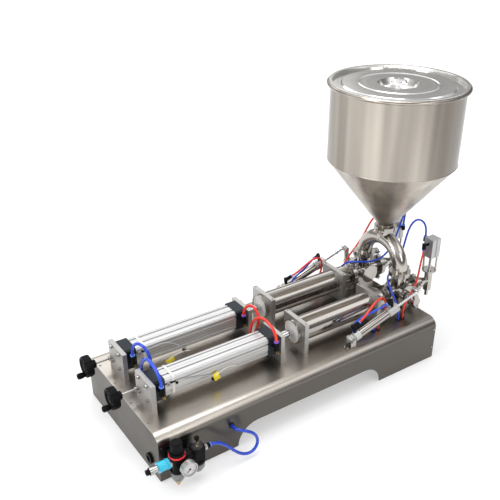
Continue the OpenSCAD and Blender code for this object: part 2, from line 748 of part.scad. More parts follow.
// Clamped crank that stands up along Z, with the pin's nut inside and its washer outside
module crank() {
    nut_t = 5;
    rotate([90, 0, 0]) translate([0, 0, lever_out - lever_t]) linear_extrude(lever_t)
        polygon([[-9, 0], [9, 0], [6.5, crank_r], [-6.5, crank_r]]);
    translate([0, 0, crank_r]) {
        rod_y(-lever_out, -lever_out + lever_t, eye_r - 1);
        rod_y(-lever_out - washer_t, -lever_out + 0.1, eye_r - 2);
        translate([0, -lever_out + lever_t + nut_t, 0]) rotate([90, 0, 0])
            cylinder(h = nut_t + 0.1, r = eye_r - 1.5, $fn = 6);
    }
    difference() {
        union() {
            rod_y(-lever_out, -lever_out + crank_hub_l, crank_hub_r);
            translate([-6, -lever_out, -crank_hub_r - 7]) cube([12, crank_hub_l, crank_hub_r]);
        }
        rod_y(-lever_out - 1, -cover_end, shaft_r - 1);
        translate([-1, -lever_out - 1, -crank_hub_r - 8]) cube([2, crank_hub_l + 2, crank_hub_r]);
    }
}
module near_valve_rotor() valve_rotor(-1);
module far_valve_rotor() valve_rotor(1);

// Feed manifold: half ring over both valves with a stub up to the hopper
module feed_shape(r, over) {
    translate([valve_x, 0, arch_z]) rotate([90, 0, 90]) rotate_extrude(angle = 180)
        translate([lane_y, 0]) circle(r);
    for (side = [-1, 1]) translate([valve_x, side*lane_y, 0]) rod_z(feed_z + half_joint - over, arch_z, r);
    translate([valve_x, 0, 0]) rod_z(arch_z + lane_y, neck_joint_z - half_joint + over, r);
}
module feed_manifold() color("silver") on_table() difference() {
    union() {
        feed_shape(feed_r, 0);
        for (side = [-1, 1]) translate([valve_x, side*lane_y, feed_z + half_joint])
            rod_z(0, ferrule_t, ferrule_r);
        translate([valve_x, 0, neck_joint_z - half_joint]) rod_z(-ferrule_t, 0, ferrule_r);
    }
    feed_shape(feed_r - pipe_wall, 1);
}

// Hopper with a cone, straight wall and rolled rim
module hopper() color("silver") on_table() translate([valve_x, 0, 0]) {
    w = hopper_wall;
    inner = feed_r - w;
    rotate_extrude($fn = 128) {
        polygon([[inner, neck_z], [ferrule_r, neck_z], [ferrule_r, neck_z + ferrule_t],
            [feed_r, neck_z + ferrule_t], [feed_r, cone_z], [hopper_r, wall_z], [hopper_r, rim_z],
            [hopper_r - w, rim_z], [hopper_r - w, wall_z + w/2], [inner, cone_z + w/2]]);
        translate([rim_x, rim_z - rim_roll]) circle(rim_roll, $fn = 24);
        translate([hopper_r - w, rim_z - w]) square([rim_x - hopper_r + w, w]);
    }
}

// Lid let down into the hopper: lip, outer channel, flat with a raised ring, dish and knob
module hopper_lid() color("lightgray") on_table() translate([valve_x, 0, rim_z]) {
    r = hopper_r - hopper_wall - ease;
    step_r = r - lid_band;
    ring_at = (step_r + dish_r)/2;
    flat = -lid_sink + 4;
    under = [[0, -dish_sink], [dish_r - 6, -dish_sink], [dish_r, flat], [ring_at - 3, flat],
        [ring_at, flat + 1.5], [ring_at + 3, flat], [step_r - 4, flat], [step_r, -lid_sink],
        [r, -lid_sink], [r, ease], [rim_x, ease]];
    over = [for (p = under) let (upright = p[0] <= dish_r || p[0] == r)
        [max(p[0] - (upright ? lid_t : 0), 0), p[1] + lid_t]];
    rotate_extrude($fn = 128) polygon(concat(under, [for (i = [len(over) - 1:-1:0]) over[i]]));
    translate([0, 0, -dish_sink + lid_t]) rotate_extrude() polygon([[0, 0], [knob_r - 14, 0],
        [knob_r - 16, 8], [knob_r - 15, 12], [knob_r - 3, 16], [knob_r, 20], [knob_r - 3, 25],
        [knob_r - 11, 28], [0, 29]]);
}

// Clamp ring round a pair of ferrules, with a hinge lug and a wing nut, along Z
module ring_clamp(pipe, fer, outer) {
    lug = 12;
    lug_half = 8;
    groove = ferrule_t + half_joint + 0.1;
    difference() {
        union() {
            rod_z(-ring_w/2, ring_w/2, outer);
            translate([outer - 4, -lug_half, -ring_w/2]) cube([lug + 4, 2*lug_half, ring_w]);
            translate([-outer - 4, -6, -ring_w/2]) cube([8, 12, ring_w]);
        }
        rod_z(-ring_w, ring_w, pipe + ease);
        rod_z(-groove, groove, fer + ease);
        translate([fer - 2, -1.5, -ring_w]) cube([outer - fer + lug + 4, 3, 2*ring_w]);
        translate([-outer - 6, -1, -ring_w]) cube([8, 2, 2*ring_w]);
        translate([outer + lug/2, 0, 0]) rod_y(-lug_half - 1, lug_half + 1, bolt_r);
    }
    translate([outer + lug/2, 0, 0]) {
        rod_y(-lug_half - 3, lug_half + 8, bolt_r - seat);
        rod_y(-lug_half - 3, -lug_half, bolt_r + 2);
        rod_y(lug_half, lug_half + 5, bolt_r + 2);
        translate([-9, lug_half + 1, -2]) cube([18, 3, 4]);
    }
}
module tri_clamps() color("gainsboro") on_table() {
    translate([valve_x, 0, neck_joint_z]) rotate(200) ring_clamp(feed_r, ferrule_r, ring_r);
    both_mirrored() {
        translate([valve_x, 0, feed_reach]) rotate(20) ring_clamp(feed_r, ferrule_r, ring_r);
        for (x = [joint_x, outlet_x]) translate([x, 0, 0]) rotate([0, 90, 0])
            ring_clamp(pipe_r, ferrule_r, ring_r);
        translate([valve_x, -cover_joint, 0]) rotate([90, 0, 0]) rotate(-90)
            ring_clamp(valve_r, cover_ferrule_r, cover_ring_r);
    }
}

// Gaskets between the ferrules
module gasket(inner, outer) difference() {
    rod_z(-half_joint + seat, half_joint - seat, outer);
    rod_z(-2, 2, inner);
}
module clamp_gaskets() color("white") on_table() {
    translate([valve_x, 0, neck_joint_z]) gasket(feed_r - pipe_wall, ferrule_r);
    both_mirrored() {
        translate([valve_x, 0, feed_reach]) gasket(feed_r - pipe_wall, ferrule_r);
        for (x = [joint_x, outlet_x]) translate([x, 0, 0]) rotate([0, 90, 0])
            gasket(pipe_r - pipe_wall, ferrule_r);
        translate([valve_x, -cover_joint, 0]) rotate([90, 0, 0]) gasket(plug_r + 1, cover_ferrule_r);
    }
}

// Nozzle: inlet pipe with its cone, upright body, tip, flange and posts
module nozzle(side) color("silver") on_table() mirrored_lane(side) {
    inlet_x = outlet_x + half_joint;
    difference() {
        union() {
            rotate([0, 90, 0]) rotate_extrude() polygon([[0, inlet_x], [ferrule_r, inlet_x],
                [ferrule_r, inlet_x + ferrule_t], [pipe_r, inlet_x + ferrule_t], [pipe_r, inlet_x + 25],
                [nozzle_r - 3, inlet_x + 50], [nozzle_r - 3, nozzle_x], [0, nozzle_x]]);
            translate([nozzle_x, 0, -axis_z]) {
                rod_z(nozzle_z, flange_z, nozzle_r);
                rod_z(tip_z, nozzle_z + 1, tip_r);
                rod_z(nozzle_z - 4, nozzle_z + 1, tip_r + 3);
            }
        }
        rotate([0, 90, 0]) rotate_extrude() polygon([[0, inlet_x - 1], [pipe_r - pipe_wall, inlet_x - 1],
            [pipe_r - pipe_wall, inlet_x + 25], [nozzle_r - 5, inlet_x + 50], [nozzle_r - 5, nozzle_x],
            [0, nozzle_x]]);
        translate([nozzle_x, 0, -axis_z]) {
            rod_z(nozzle_z + 2, flange_z - 12, nozzle_r - 3);
            rod_z(tip_z - 1, nozzle_z + 3, tip_bore_r);
            rod_z(flange_z - 13, flange_z + 1, mini_rod_r + run);
        }
    }
    translate([nozzle_x, 0, flange_z - axis_z]) {
        difference() {
            rod_z(0, flange_t, flange_r);
            rod_z(-1, flange_t + 1, mini_rod_r + run);
        }
        for (a = [0:90:270]) rotate(a) translate([post_at, post_at, 0]) rod_z(0, flange_t + post_h, post_r);
    }
}
module near_nozzle() nozzle(-1);
module far_nozzle() nozzle(1);

// Small square cylinders over the nozzles, with sensor slots and push-in elbows
module nozzle_cylinders() color("lightgray") on_table() for (side = [-1, 1]) mirrored_lane(side)
    translate([nozzle_x, 0, small_z - axis_z]) {
        difference() {
            translate([-small_w/2, -small_w/2, 0]) cube([small_w, small_w, small_h]);
            rod_z(small_floor, small_h - small_floor, small_bore_r);
            rod_z(-1, small_floor + 1, mini_rod_r + run);
            for (a = [0:90:270]) rotate(a) translate([small_w/2 - 1.5, -2, -1])
                cube([3, 4, small_h + 2]);
        }
        translate([-small_w/2, 0, port_up]) rotate(-90) mirror([0, 0, side < 0 ? 1 : 0])
            elbow(18, 12, thin_r);
        translate([0, small_w/2, port_up]) rotate(180) elbow(13, 8, thin_r);
    }

// Shut-off needle with the small cylinder's piston and lock nut
module needle(side) color("gray") on_table() mirrored_lane(side)
    translate([nozzle_x, 0, -axis_z]) {
        piston_z = small_z + small_floor + 4;
        rod_z(tip_z + 3, nozzle_z + 8, tip_bore_r - run);
        rod_z(nozzle_z + 7.9, nozzle_z + 14, nozzle_r - 5);
        rod_z(nozzle_z + 13.9, piston_z + 8, mini_rod_r);
        rod_z(piston_z, piston_z + 8, small_bore_r - run);
        translate([0, 0, post_z + 6]) cylinder(h = 6, r = mini_rod_r + 4, $fn = 6);
    }
module near_needle() needle(-1);
module far_needle() needle(1);

// Rear pivot brackets of the valve actuators with their pins
module actuator_brackets() color("gray") on_table() for (s = [0, 1]) mirror([0, s, 0])
    translate([pivot_x, -eye_y, pivot_z]) {
        cheek_r = 9;
        difference() {
            union() {
                translate([-20, -bracket_half, -pivot_h]) cube([34, 2*bracket_half, bracket_t]);
                for (y = [-bracket_half, bracket_half - bracket_t]) {
                    rod_y(y, y + bracket_t, cheek_r);
                    translate([-cheek_r, y, -pivot_h]) cube([2*cheek_r, bracket_t, pivot_h]);
                }
            }
            rod_y(-bracket_half - 1, bracket_half + 1, pin_r + seat);
        }
        rod_y(-bracket_half - 3, -bracket_half, pin_r + 2);
        rod_y(-bracket_half - 3, bracket_half + 3, pin_r);
        for (y = [-6, 6]) translate([-15, y, -pivot_h + bracket_t]) rod_z(0, 3, 3);
    }

// Things drawn in an actuator's own frame: X runs from the pivot to the crank's pin
module on_actuator(side) mirror([0, side > 0 ? 1 : 0, 0]) translate([pivot_x, -eye_y, pivot_z])
    rotate([0, -tilt, 0]) children();

// Push-in elbow on a round cap: it stands up from the cap and its collar looks along X
module cap_elbow(cap_r, l) {
    rod_z(cap_r - 1, cap_r + elbow_up + 5, thin_r + 1.5);
    rod_z(cap_r + elbow_up - 8, cap_r + elbow_up + 6, thin_r + 2.5);
    translate([0, 0, cap_r + elbow_up]) rod_x(0, l, thin_r + 2.2);
}
// Actuator body: lug, rear cap, tube, front cap and two push-in elbows
module actuator(side) color("gainsboro") on_table() on_actuator(side) {
    lug_half = bracket_half - bracket_t - 0.5;
    difference() {
        union() {
            rod_y(-lug_half, lug_half, lug_r);
            translate([0, -lug_half, -lug_r + 1]) cube([mini_cap_x + 0.1, 2*lug_half, 2*lug_r - 2]);
            rod_x(mini_cap_x, mini_tube_x, mini_r + 1);
            rod_x(mini_tube_x, mini_front_x, mini_r);
            rod_x(mini_front_x, mini_front_x + mini_front_l, mini_cap_r);
        }
        rod_y(-lug_half - 1, lug_half + 1, pin_r + run);
        rod_x(mini_tube_x, mini_front_x - 4, mini_r - mini_wall);
        rod_x(mini_front_x - 5, mini_front_x + mini_front_l + 1, mini_rod_r + run);
    }
    translate([mini_cap_x + mini_cap_l/2, 0, 0]) rotate([-15, 0, 0]) cap_elbow(mini_r + 1, 20);
    translate([mini_front_x + 20, 0, 0]) rotate(180) cap_elbow(mini_cap_r, 14);
}
module near_actuator() actuator(-1);
module far_actuator() actuator(1);

// Actuator rod with its piston, and the rod end that stands outside the crank
module actuator_rod(side) color("silver") on_table() on_actuator(side) {
    piston_x = mini_tube_x + 6;
    rod_x(piston_x, piston_x + 8, mini_r - mini_wall - run);
    rod_x(piston_x + 7.9, reach - eye_r, mini_rod_r);
    rod_x(reach - eye_r - shank_l, reach - eye_r + 4, eye_w/2 - 0.3);
    rod_x(reach - eye_r - shank_l - 4, reach - eye_r - shank_l + 0.1, shank_r);
    translate([reach, 0, 0]) {
        rod_y(-eye_w/2, eye_w/2, eye_r);
        rod_y(-eye_w/2 - 3, -eye_w/2 + 0.1, pin_r + 2);
    }
}
module near_actuator_rod() actuator_rod(-1);
module far_actuator_rod() actuator_rod(1);

// Handwheel with its grip's spindle, and the adjusting screw with its two shoulders
module handwheel(side) color([0.12, 0.12, 0.13]) on_table() plain_lane(side)
    translate([0, screw_y, screw_dz]) {
        difference() {
            rod_x(wheel_x, wheel_x + wheel_t, wheel_r);
            for (a = [22.5:45:360]) rotate([a, 0, 0]) translate([0, 0, wheel_r + 6])
                rod_x(wheel_x - 1, wheel_x + wheel_t + 1, 8);
            rod_x(wheel_x - 1, wheel_x + 3, hub_r - 1);
        }
        rod_x(wheel_x + wheel_t - 0.1, wheel_x + wheel_t + hub_l, hub_r);
        rod_x(wheel_x + 2.9, front_x + plate_t - 2, screw_r);
        rod_x(plate_x - 7, plate_x - ease, shoulder_r + 0.5);
        rod_x(cap_x + ease, cap_x + 6, shoulder_r);
        translate([0, grip_side, -grip_drop])
            rod_x(wheel_x - grip_gap - grip_l + 8, wheel_x + 0.1, spindle_r);
    }
module near_handwheel() handwheel(-1);
module far_handwheel() handwheel(1);

// Revolving grip on the handwheel
module grip(side) color([0.15, 0.15, 0.16]) on_table() plain_lane(side)
    translate([wheel_x - grip_gap - grip_l, screw_y + grip_side, screw_dz - grip_drop]) rotate([0, 90, 0])
        rotate_extrude() polygon([[0, 0], [grip_r - 2, 0], [grip_r, 3], [grip_r, grip_l - 8],
            [grip_r - 2.5, grip_l], [spindle_r + run, grip_l], [spindle_r + run, 7], [0, 7]]);
module near_grip() grip(-1);
module far_grip() grip(1);

// Sensor slide: a nut on the screw with a tongue in the barrel's slot
module sensor_slide(side) color("slategray") on_table() plain_lane(side)
    translate([barrel_x + 20, 0, 0]) difference() {
        near = barrel_w/2 + ease;
        foot = screw_dz - 9;
        union() {
            translate([0, near, foot]) cube([slide_l, screw_y - near + 9, -slot_dz + slot_w/2 - foot]);
            translate([0, near - slot_d + 0.1, -slot_dz - slot_w/2 + ease])
                cube([slide_l, slot_d, slot_w - 2*ease]);
        }
        translate([0, screw_y, screw_dz]) rod_x(-1, slide_l + 1, screw_r + run);
    }
module near_sensor_slide() sensor_slide(-1);
module far_sensor_slide() sensor_slide(1);

// Places things on an axis of the air preparation unit, at a height above the table
module frl(x, z) on_table() translate([x, frl_y, z]) children();

// Block with a ring below that holds a clear bowl
module frl_block() {
    translate([0, 0, body_z]) linear_extrude(body_top - body_z) cut_square(2*reg_half, 4);
    difference() {
        rod_z(body_z - bowl_grip, body_z + 0.1, bowl_r + 1.5);
        rod_z(body_z - bowl_grip - 1, body_z, bowl_r + seat);
    }
}
// Regulator with its bonnet ring, the bracket on the panel and the passage to the lubricator
module regulator_body() color([0.13, 0.13, 0.14]) {
    frl(reg_x, 0) {
        frl_block();
        rod_z(body_top, body_top + bonnet_h, reg_half + 2.5);
        translate([0, 0, port_z]) rod_x(reg_half - 0.1, frl_pitch - reg_half, 10);
    }
    on_table() translate([reg_x, 0, 0]) {
        translate([-16, -base_w/2 - bracket_t, body_top - 26]) cube([60, bracket_t, 32]);
        translate([-12, frl_y + reg_half - 0.1, body_top - 8])
            cube([24, frl_out - reg_half - bracket_t + 0.2, 5]);
        for (x = [-10, 38]) translate([x, -base_w/2 - bracket_t, body_top - 19]) rod_y(-2, 0.1, 3);
    }
}
module regulator_knob() color([0.1, 0.1, 0.11]) frl(reg_x, body_top + bonnet_h + ease) difference() {
    rotate_extrude() polygon([[0, 0], [knob_side, 0], [knob_side, 24], [knob_side - 2.5, 28], [0, 29]]);
    for (a = [0:30:330]) rotate(a) translate([knob_side + 1.3, 0, 4]) rod_z(0, 40, 2);
}

// Clear bowls as turned shells, drawn down from the blocks
module bowl(r, l) translate([0, 0, body_z - seat]) rotate_extrude() polygon([[r - 2, 0], [r, 0], [r, 14 - l],
    [r - 5, 4 - l], [5, -l], [drain_stem_r + seat, -l], [drain_stem_r + seat, 2 - l], [5, 2 - l],
    [r - 6, 6 - l], [r - 2, 15 - l]]);
module clear_bowls() color([0.85, 0.88, 0.9, 0.5]) {
    frl(reg_x, 0) bowl(bowl_r, bowl_l);
    frl(lub_x, 0) bowl(bowl_r, bowl_l - 4);
    frl(lub_x, 0) rod_z(body_z - bowl_l + 3, body_z - bowl_l + 7, drain_stem_r);
}
// Drain cock: its stem turns in the filter bowl's bottom
module drain_cock() color("goldenrod") frl(reg_x, body_z - bowl_l) {
    rod_z(-1, 4, drain_stem_r - run);
    rotate_extrude() polygon([[0, -14], [2, -14], [3.5, -9], [6, -7], [6, -ease - seat], [0, -ease - seat]]);
}

module pressure_gauge() color("gainsboro") frl(gauge_x, gauge_z) {
    face = gauge_face - frl_y;
    difference() {
        rod_y(face, face + gauge_t, gauge_r);
        rod_y(face - 1, face + 3, gauge_r - 3);
    }
    rod_y(face + gauge_t - 0.1, -reg_half, 4);
}
module gauge_needle() color("black") frl(gauge_x, gauge_z)
    translate([0, gauge_face - frl_y + 3 - ease, 0]) {
        rod_y(-2, 0, 2);
        rotate([0, -135, 0]) translate([-0.5, -1.5, -4]) cube([1, 0.6, gauge_r - 5]);
    }

// Lubricator with its sight dome, brass outlet and push-in fitting
module lubricator_body() color([0.13, 0.13, 0.14]) frl(lub_x, 0) {
    frl_block();
    translate([0, 0, body_top - 0.1]) rotate_extrude() polygon([[0, 0], [14, 0], [12, 4], [9, 6],
        [9, dome_h - 2], [6, dome_h + 0.1], [0, dome_h + 0.1]]);
    translate([0, 0, port_z]) {
        translate([reg_half - 0.1, 0, 0]) rotate([0, 90, 0]) cylinder(h = 9, r = 8, $fn = 6);
        rod_x(reg_half + 8, supply_route[0][0] + supply_shift[0] - lub_x, hose_r + 2.5);
    }
}
module lubricator_knob() color("black") frl(lub_x, body_top + dome_h + ease) rotate_extrude()
    polygon([[0, 0], [3, 0], [3, 5], [5.5, 7], [5.5, 13], [4, 15], [0, 15]]);

// Slide valve on the inlet: hexagon, tube, end shoulder and a mouth for the air line
module slide_valve() color("silver") frl(valve_end, port_z) difference() {
    shoulder = -hex_t - sleeve_l - sleeve_travel - 2*ease - 0.4;
    union() {
        rotate([0, -90, 0]) cylinder(h = hex_t, r = 11, $fn = 6);
        rod_x(shoulder, 0, slide_tube_r);
        rod_x(shoulder - 10, shoulder, slide_tube_r + 1.5);
        rod_x(shoulder - 18, shoulder - 9.9, slide_tube_r - 1);
    }
    rod_x(shoulder - 19, shoulder - 3, hose_r + 0.1);
    rod_x(shoulder - 4, 1, 3);
}
module slide_sleeve() color("deepskyblue") frl(valve_end, port_z) translate([-hex_t - ease, 0, 0])
    difference() {
        union() {
            rod_x(-sleeve_l, 0, sleeve_r - 2);
            rod_x(-sleeve_l, -sleeve_l + 5, sleeve_r);
            rod_x(-5, 0, sleeve_r);
        }
        rod_x(-sleeve_l - 1, 1, slide_tube_r + run);
    }

module supply_hose() color("royalblue") on_table() translate(supply_shift)
    hose(supply_route, hose_r, 10);
module cylinder_hoses() color("royalblue") on_table() translate(route_shift)
    for (route = concat(blue_routes, red_routes)) hose(route, hose_r);
module actuator_hoses(side) color("crimson") on_table() translate(route_shift)
    mirror([0, side > 0 ? 1 : 0, 0]) {
    hose(actuator_red, thin_r);
    hose(actuator_blue, thin_r);
}
module near_actuator_hoses() actuator_hoses(-1);
module far_actuator_hoses() actuator_hoses(1);
module nozzle_hoses() color("crimson") on_table() translate(route_shift) {
    hose(nozzle_red, thin_r);
    hose(nozzle_blue, thin_r);
    mirror([0, 1, 0]) {
        hose(far_nozzle_red, thin_r);
        hose(nozzle_blue, thin_r);
    }
}

base_cover();
end_panels();
foot_pads();
screws_and_bolts();
end_socket();
hose_grommets();
valve_bank();
rear_plates();
front_plates();
air_cylinders();
cylinder_caps();
cylinder_fittings();
sensor_cables();
near_piston_rod();
far_piston_rod();
near_paste_piston();
far_paste_piston();
near_paste_cylinder();
far_paste_cylinder();
split_clamps();
near_valve_body();
far_valve_body();
near_valve_rotor();
far_valve_rotor();
feed_manifold();
hopper();
hopper_lid();
tri_clamps();
clamp_gaskets();
near_nozzle();
far_nozzle();
nozzle_cylinders();
near_needle();
far_needle();
actuator_brackets();
near_actuator();
far_actuator();
near_actuator_rod();
far_actuator_rod();
near_handwheel();
far_handwheel();
near_grip();
far_grip();
near_sensor_slide();
far_sensor_slide();
regulator_body();
regulator_knob();
clear_bowls();
drain_cock();
pressure_gauge();
gauge_needle();
lubricator_body();
lubricator_knob();
slide_valve();
slide_sleeve();
supply_hose();
cylinder_hoses();
near_actuator_hoses();
far_actuator_hoses();
nozzle_hoses();
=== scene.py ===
import math

import bmesh
import bpy
from mathutils import Matrix, Vector


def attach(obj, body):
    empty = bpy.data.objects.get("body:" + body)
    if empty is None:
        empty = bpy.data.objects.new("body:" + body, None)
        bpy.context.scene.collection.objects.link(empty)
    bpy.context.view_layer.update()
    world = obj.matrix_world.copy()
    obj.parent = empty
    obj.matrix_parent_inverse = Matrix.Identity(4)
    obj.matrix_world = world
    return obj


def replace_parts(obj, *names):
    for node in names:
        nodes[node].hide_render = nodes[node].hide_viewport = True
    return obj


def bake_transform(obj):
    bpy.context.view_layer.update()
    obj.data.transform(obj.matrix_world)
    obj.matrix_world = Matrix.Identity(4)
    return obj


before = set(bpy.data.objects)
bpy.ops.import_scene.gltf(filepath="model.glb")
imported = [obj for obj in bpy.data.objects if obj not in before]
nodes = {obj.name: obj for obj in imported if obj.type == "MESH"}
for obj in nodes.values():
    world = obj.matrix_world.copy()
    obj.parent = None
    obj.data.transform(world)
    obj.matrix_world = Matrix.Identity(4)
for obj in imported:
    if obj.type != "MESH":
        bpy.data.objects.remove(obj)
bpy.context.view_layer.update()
print("frame loaded:", len(nodes), "pieces of the filling machine")

footShift = Vector((-0.03905, 0.0366, 0.0))  # the base's middle, seen from the middle of the footprint


def at(x, y, z):  # millimetres measured from the middle of the base, as metres in the frame
    return Vector((x, y, z)) / 1000 + footShift


# Camera at the photograph's angle
cameraFacts = {
    "place": (-980.8, -1381.9, 1278.7),
    "right": (0.8162, -0.5777, 0.0144),
    "up": (0.2735, 0.4081, 0.8710),
    "lens": 52.64,
    "shiftX": -0.0504,
    "shiftY": 0.0536,
    "sensorWidth": 36,
    "farClip": 60,
}


def placeCamera(facts):
    data = bpy.data.cameras.new("photoCamera")
    data.lens, data.sensor_width = facts["lens"], facts["sensorWidth"]
    data.shift_x, data.shift_y = facts["shiftX"], facts["shiftY"]
    data.clip_end = facts["farClip"]
    camera = bpy.data.objects.new("photoCamera", data)
    bpy.context.scene.collection.objects.link(camera)
    right, up = Vector(facts["right"]).normalized(), Vector(facts["up"]).normalized()
    turn = Matrix((right, up, right.cross(up))).transposed().to_4x4()
    camera.matrix_world = Matrix.Translation(at(*facts["place"])) @ turn
    bpy.context.scene.camera = camera


placeCamera(cameraFacts)
print("camera placed")


class Wire:  # one socket of a node, usable in sums
    def __init__(self, paint, socket):
        self.paint, self.socket = paint, socket

    def maths(self, operation, other=0.0, swapped=False):
        pair = (other, self) if swapped else (self, other)
        return self.paint.add("ShaderNodeMath", {"operation": operation}, {0: pair[0], 1: pair[1]})

    def __add__(self, other):
        return self.maths("ADD", other)

    def __radd__(self, other):
        return self.maths("ADD", other, True)

    def __sub__(self, other):
        return self.maths("SUBTRACT", other)

    def __rsub__(self, other):
        return self.maths("SUBTRACT", other, True)

    def __mul__(self, other):
        return self.maths("MULTIPLY", other)

    def __rmul__(self, other):
        return self.maths("MULTIPLY", other, True)

    def __pow__(self, other):
        return self.maths("POWER", other)

    def __rpow__(self, other):
        return self.maths("POWER", other, True)


class Paint:  # a material or the world, with its nodes
    def __init__(self, name, holder=None):
        self.holder = holder or bpy.data.materials.new(name)
        self.holder.use_nodes = True
        self.tree = self.holder.node_tree
        self.tree.nodes.clear()

    def plug(self, socket, value):
        if isinstance(value, Wire):
            self.tree.links.new(value.socket, socket)
        elif socket.type == "RGBA":
            socket.default_value = (*value[:3], 1)
        else:
            socket.default_value = value

    def add(self, kind, settings=None, inputs=None, output=0):
        node = self.tree.nodes.new(kind)
        for name, value in (settings or {}).items():
            if name == "stops":
                elements = node.color_ramp.elements
                while len(elements) > 1:
                    elements.remove(elements[0])
                elements[0].position, elements[0].color = value[0][0], (*value[0][1], 1)
                for place, colour in value[1:]:
                    elements.new(place).color = (*colour, 1)
            else:
                setattr(node, name, value)
        for name, value in (inputs or {}).items():
            self.plug(node.inputs[name], value)
        return Wire(self, node.outputs[output]) if node.outputs else node

    def place(self):
        return self.add("ShaderNodeTexCoord", output="Object")

    def parts(self, vector):
        split = self.add("ShaderNodeSeparateXYZ", None, {0: vector}).socket.node
        return [Wire(self, socket) for socket in split.outputs]

    def noise(self, vector, scale, detail=2.0, roughness=0.5):
        return self.add("ShaderNodeTexNoise", None,
                        {"Vector": vector, "Scale": scale, "Detail": detail, "Roughness": roughness})

    def grain(self, stretch, detail=2.0):  # noise drawn out along an axis, cycles a metre
        vector = self.add("ShaderNodeMapping", None, {"Vector": self.place(), "Scale": stretch})
        return self.noise(vector, 1.0, detail)

    def stripes(self, value, pitch):  # soft ridges, one a pitch
        turn = self.add("ShaderNodeMath", {"operation": "SINE"}, {0: value * (2 * math.pi / pitch)})
        return turn * 0.5 + 0.5

    def between(self, share, low, high):
        return self.add("ShaderNodeMix", {"data_type": "RGBA"}, {0: share, 6: low, 7: high}, 2)

    def spread(self, value, low, high):  # low becomes nought and high becomes one
        return self.add("ShaderNodeMapRange", None, {0: value, 1: low, 2: high})

    def relief(self, height, strength, depth):
        return self.add("ShaderNodeBump", None, {"Height": height, "Strength": strength, "Distance": depth})

    def shade(self, values):
        surface = self.add("ShaderNodeBsdfPrincipled", None, values)
        self.add("ShaderNodeOutputMaterial", None, {"Surface": surface})
        return self.holder


def tint(colour, share):
    return tuple(min(1.0, part * share) for part in colour)


# Finishes
brushFacts = {  # what a metal finish has unless it says otherwise
    "metallic": 1.0, "specular": 0.5, "cloudSpan": (0.3, 0.7), "smudge": 14.0, "smudgeSpan": (0.42, 0.7),
    "smudgeRough": 0.05, "foldShadeTint": 0.17, "sideShadeTint": 0.25, "grooveShadeTint": 0.45, "grooveEdge": 3.0,
    "grooveRelief": 0.7, "bumpDepth": 0.0004}


def steelPaint(name, own):
    paint, facts = Paint(name), {**brushFacts, **own}
    fine = paint.grain(facts["brush"], 3.0)
    broad = paint.spread(paint.grain(facts["cloud"], 2.0), *facts["cloudSpan"])
    tone = fine * facts["fineShare"] + broad * (1 - facts["fineShare"])
    smudge = paint.spread(paint.noise(paint.place(), facts["smudge"], 3.0), *facts["smudgeSpan"])
    plain = facts["colour"]
    colour = paint.between(tone, tint(plain, facts["dark"]), tint(plain, facts["light"]))
    height = fine
    x, y, z = paint.parts(paint.place())
    if "shadeBelowFold" in facts:  # painted shade: darker below the front's fold
        low, high, share = facts["shadeBelowFold"]
        shadeMask = paint.spread(z, low, high)
        colour = paint.between((1 - shadeMask) * share, colour, tint(plain, facts["foldShadeTint"]))
    if "side" in facts:  # painted shade: darker towards one side
        left, right, share = facts["side"]
        shadeMask = paint.spread(x, left, right)
        colour = paint.between(shadeMask * share, colour, tint(plain, facts["sideShadeTint"]))
    if "ribs" in facts:  # drawn profile: grooves along its length, with painted shade in the grooves
        ridge = paint.stripes(y + z * facts["lean"], facts["ribs"])
        grooveShade = (1 - ridge) ** facts["grooveEdge"]
        colour = paint.between(grooveShade * facts["ribShade"], colour, tint(plain, facts["grooveShadeTint"]))
        height = fine * (1 - facts["grooveRelief"]) + ridge * facts["grooveRelief"]
    return paint.shade({
        "Base Color": colour,
        "Metallic": facts["metallic"],
        "Roughness": facts["roughness"] + facts["rough"] * (fine - 0.5) + facts["smudgeRough"] * smudge,
        "Normal": paint.relief(height, facts["relief"], facts["bumpDepth"]),
        "Specular IOR Level": facts["specular"],
    })


# painted shade: the front darker below its fold, the whole sheet darker towards the right
steelSheet = steelPaint("brushedSheet", {
    "colour": (0.54, 0.497, 0.445), "dark": 0.93, "light": 1.05, "roughness": 0.29, "rough": 0.07,
    "brush": (5, 420, 420), "cloud": (2, 5, 5), "fineShare": 0.5, "relief": 0.03,
    "shadeBelowFold": (0.110, 0.127, 0.97), "side": (-0.35, 0.40, 0.62)})
# painted shade: the end sheets are the cover's brushed steel, coloured far darker for their shaded look
shadedEndSheet = steelPaint("brushedEndSheetShaded", {
    "colour": (0.085, 0.074, 0.061), "dark": 0.86, "light": 1.14, "roughness": 0.30, "rough": 0.10,
    "brush": (420, 5, 420), "cloud": (7, 2, 7), "fineShare": 0.45, "relief": 0.05})
# vertical bands: the sheet's faint streaks, drawn strong as painted reflection bands; painted shade: darker
# towards the right
hopperSteelWithPaintedBands = steelPaint("hopperSteelPaintedBands", {
    "colour": (0.40, 0.362, 0.317), "dark": 0.42, "light": 1.52, "roughness": 0.19, "rough": 0.08,
    "brush": (300, 300, 6), "cloud": (13, 13, 0.5), "fineShare": 0.12, "relief": 0.03,
    "side": (0.30, 0.47, 0.85)})
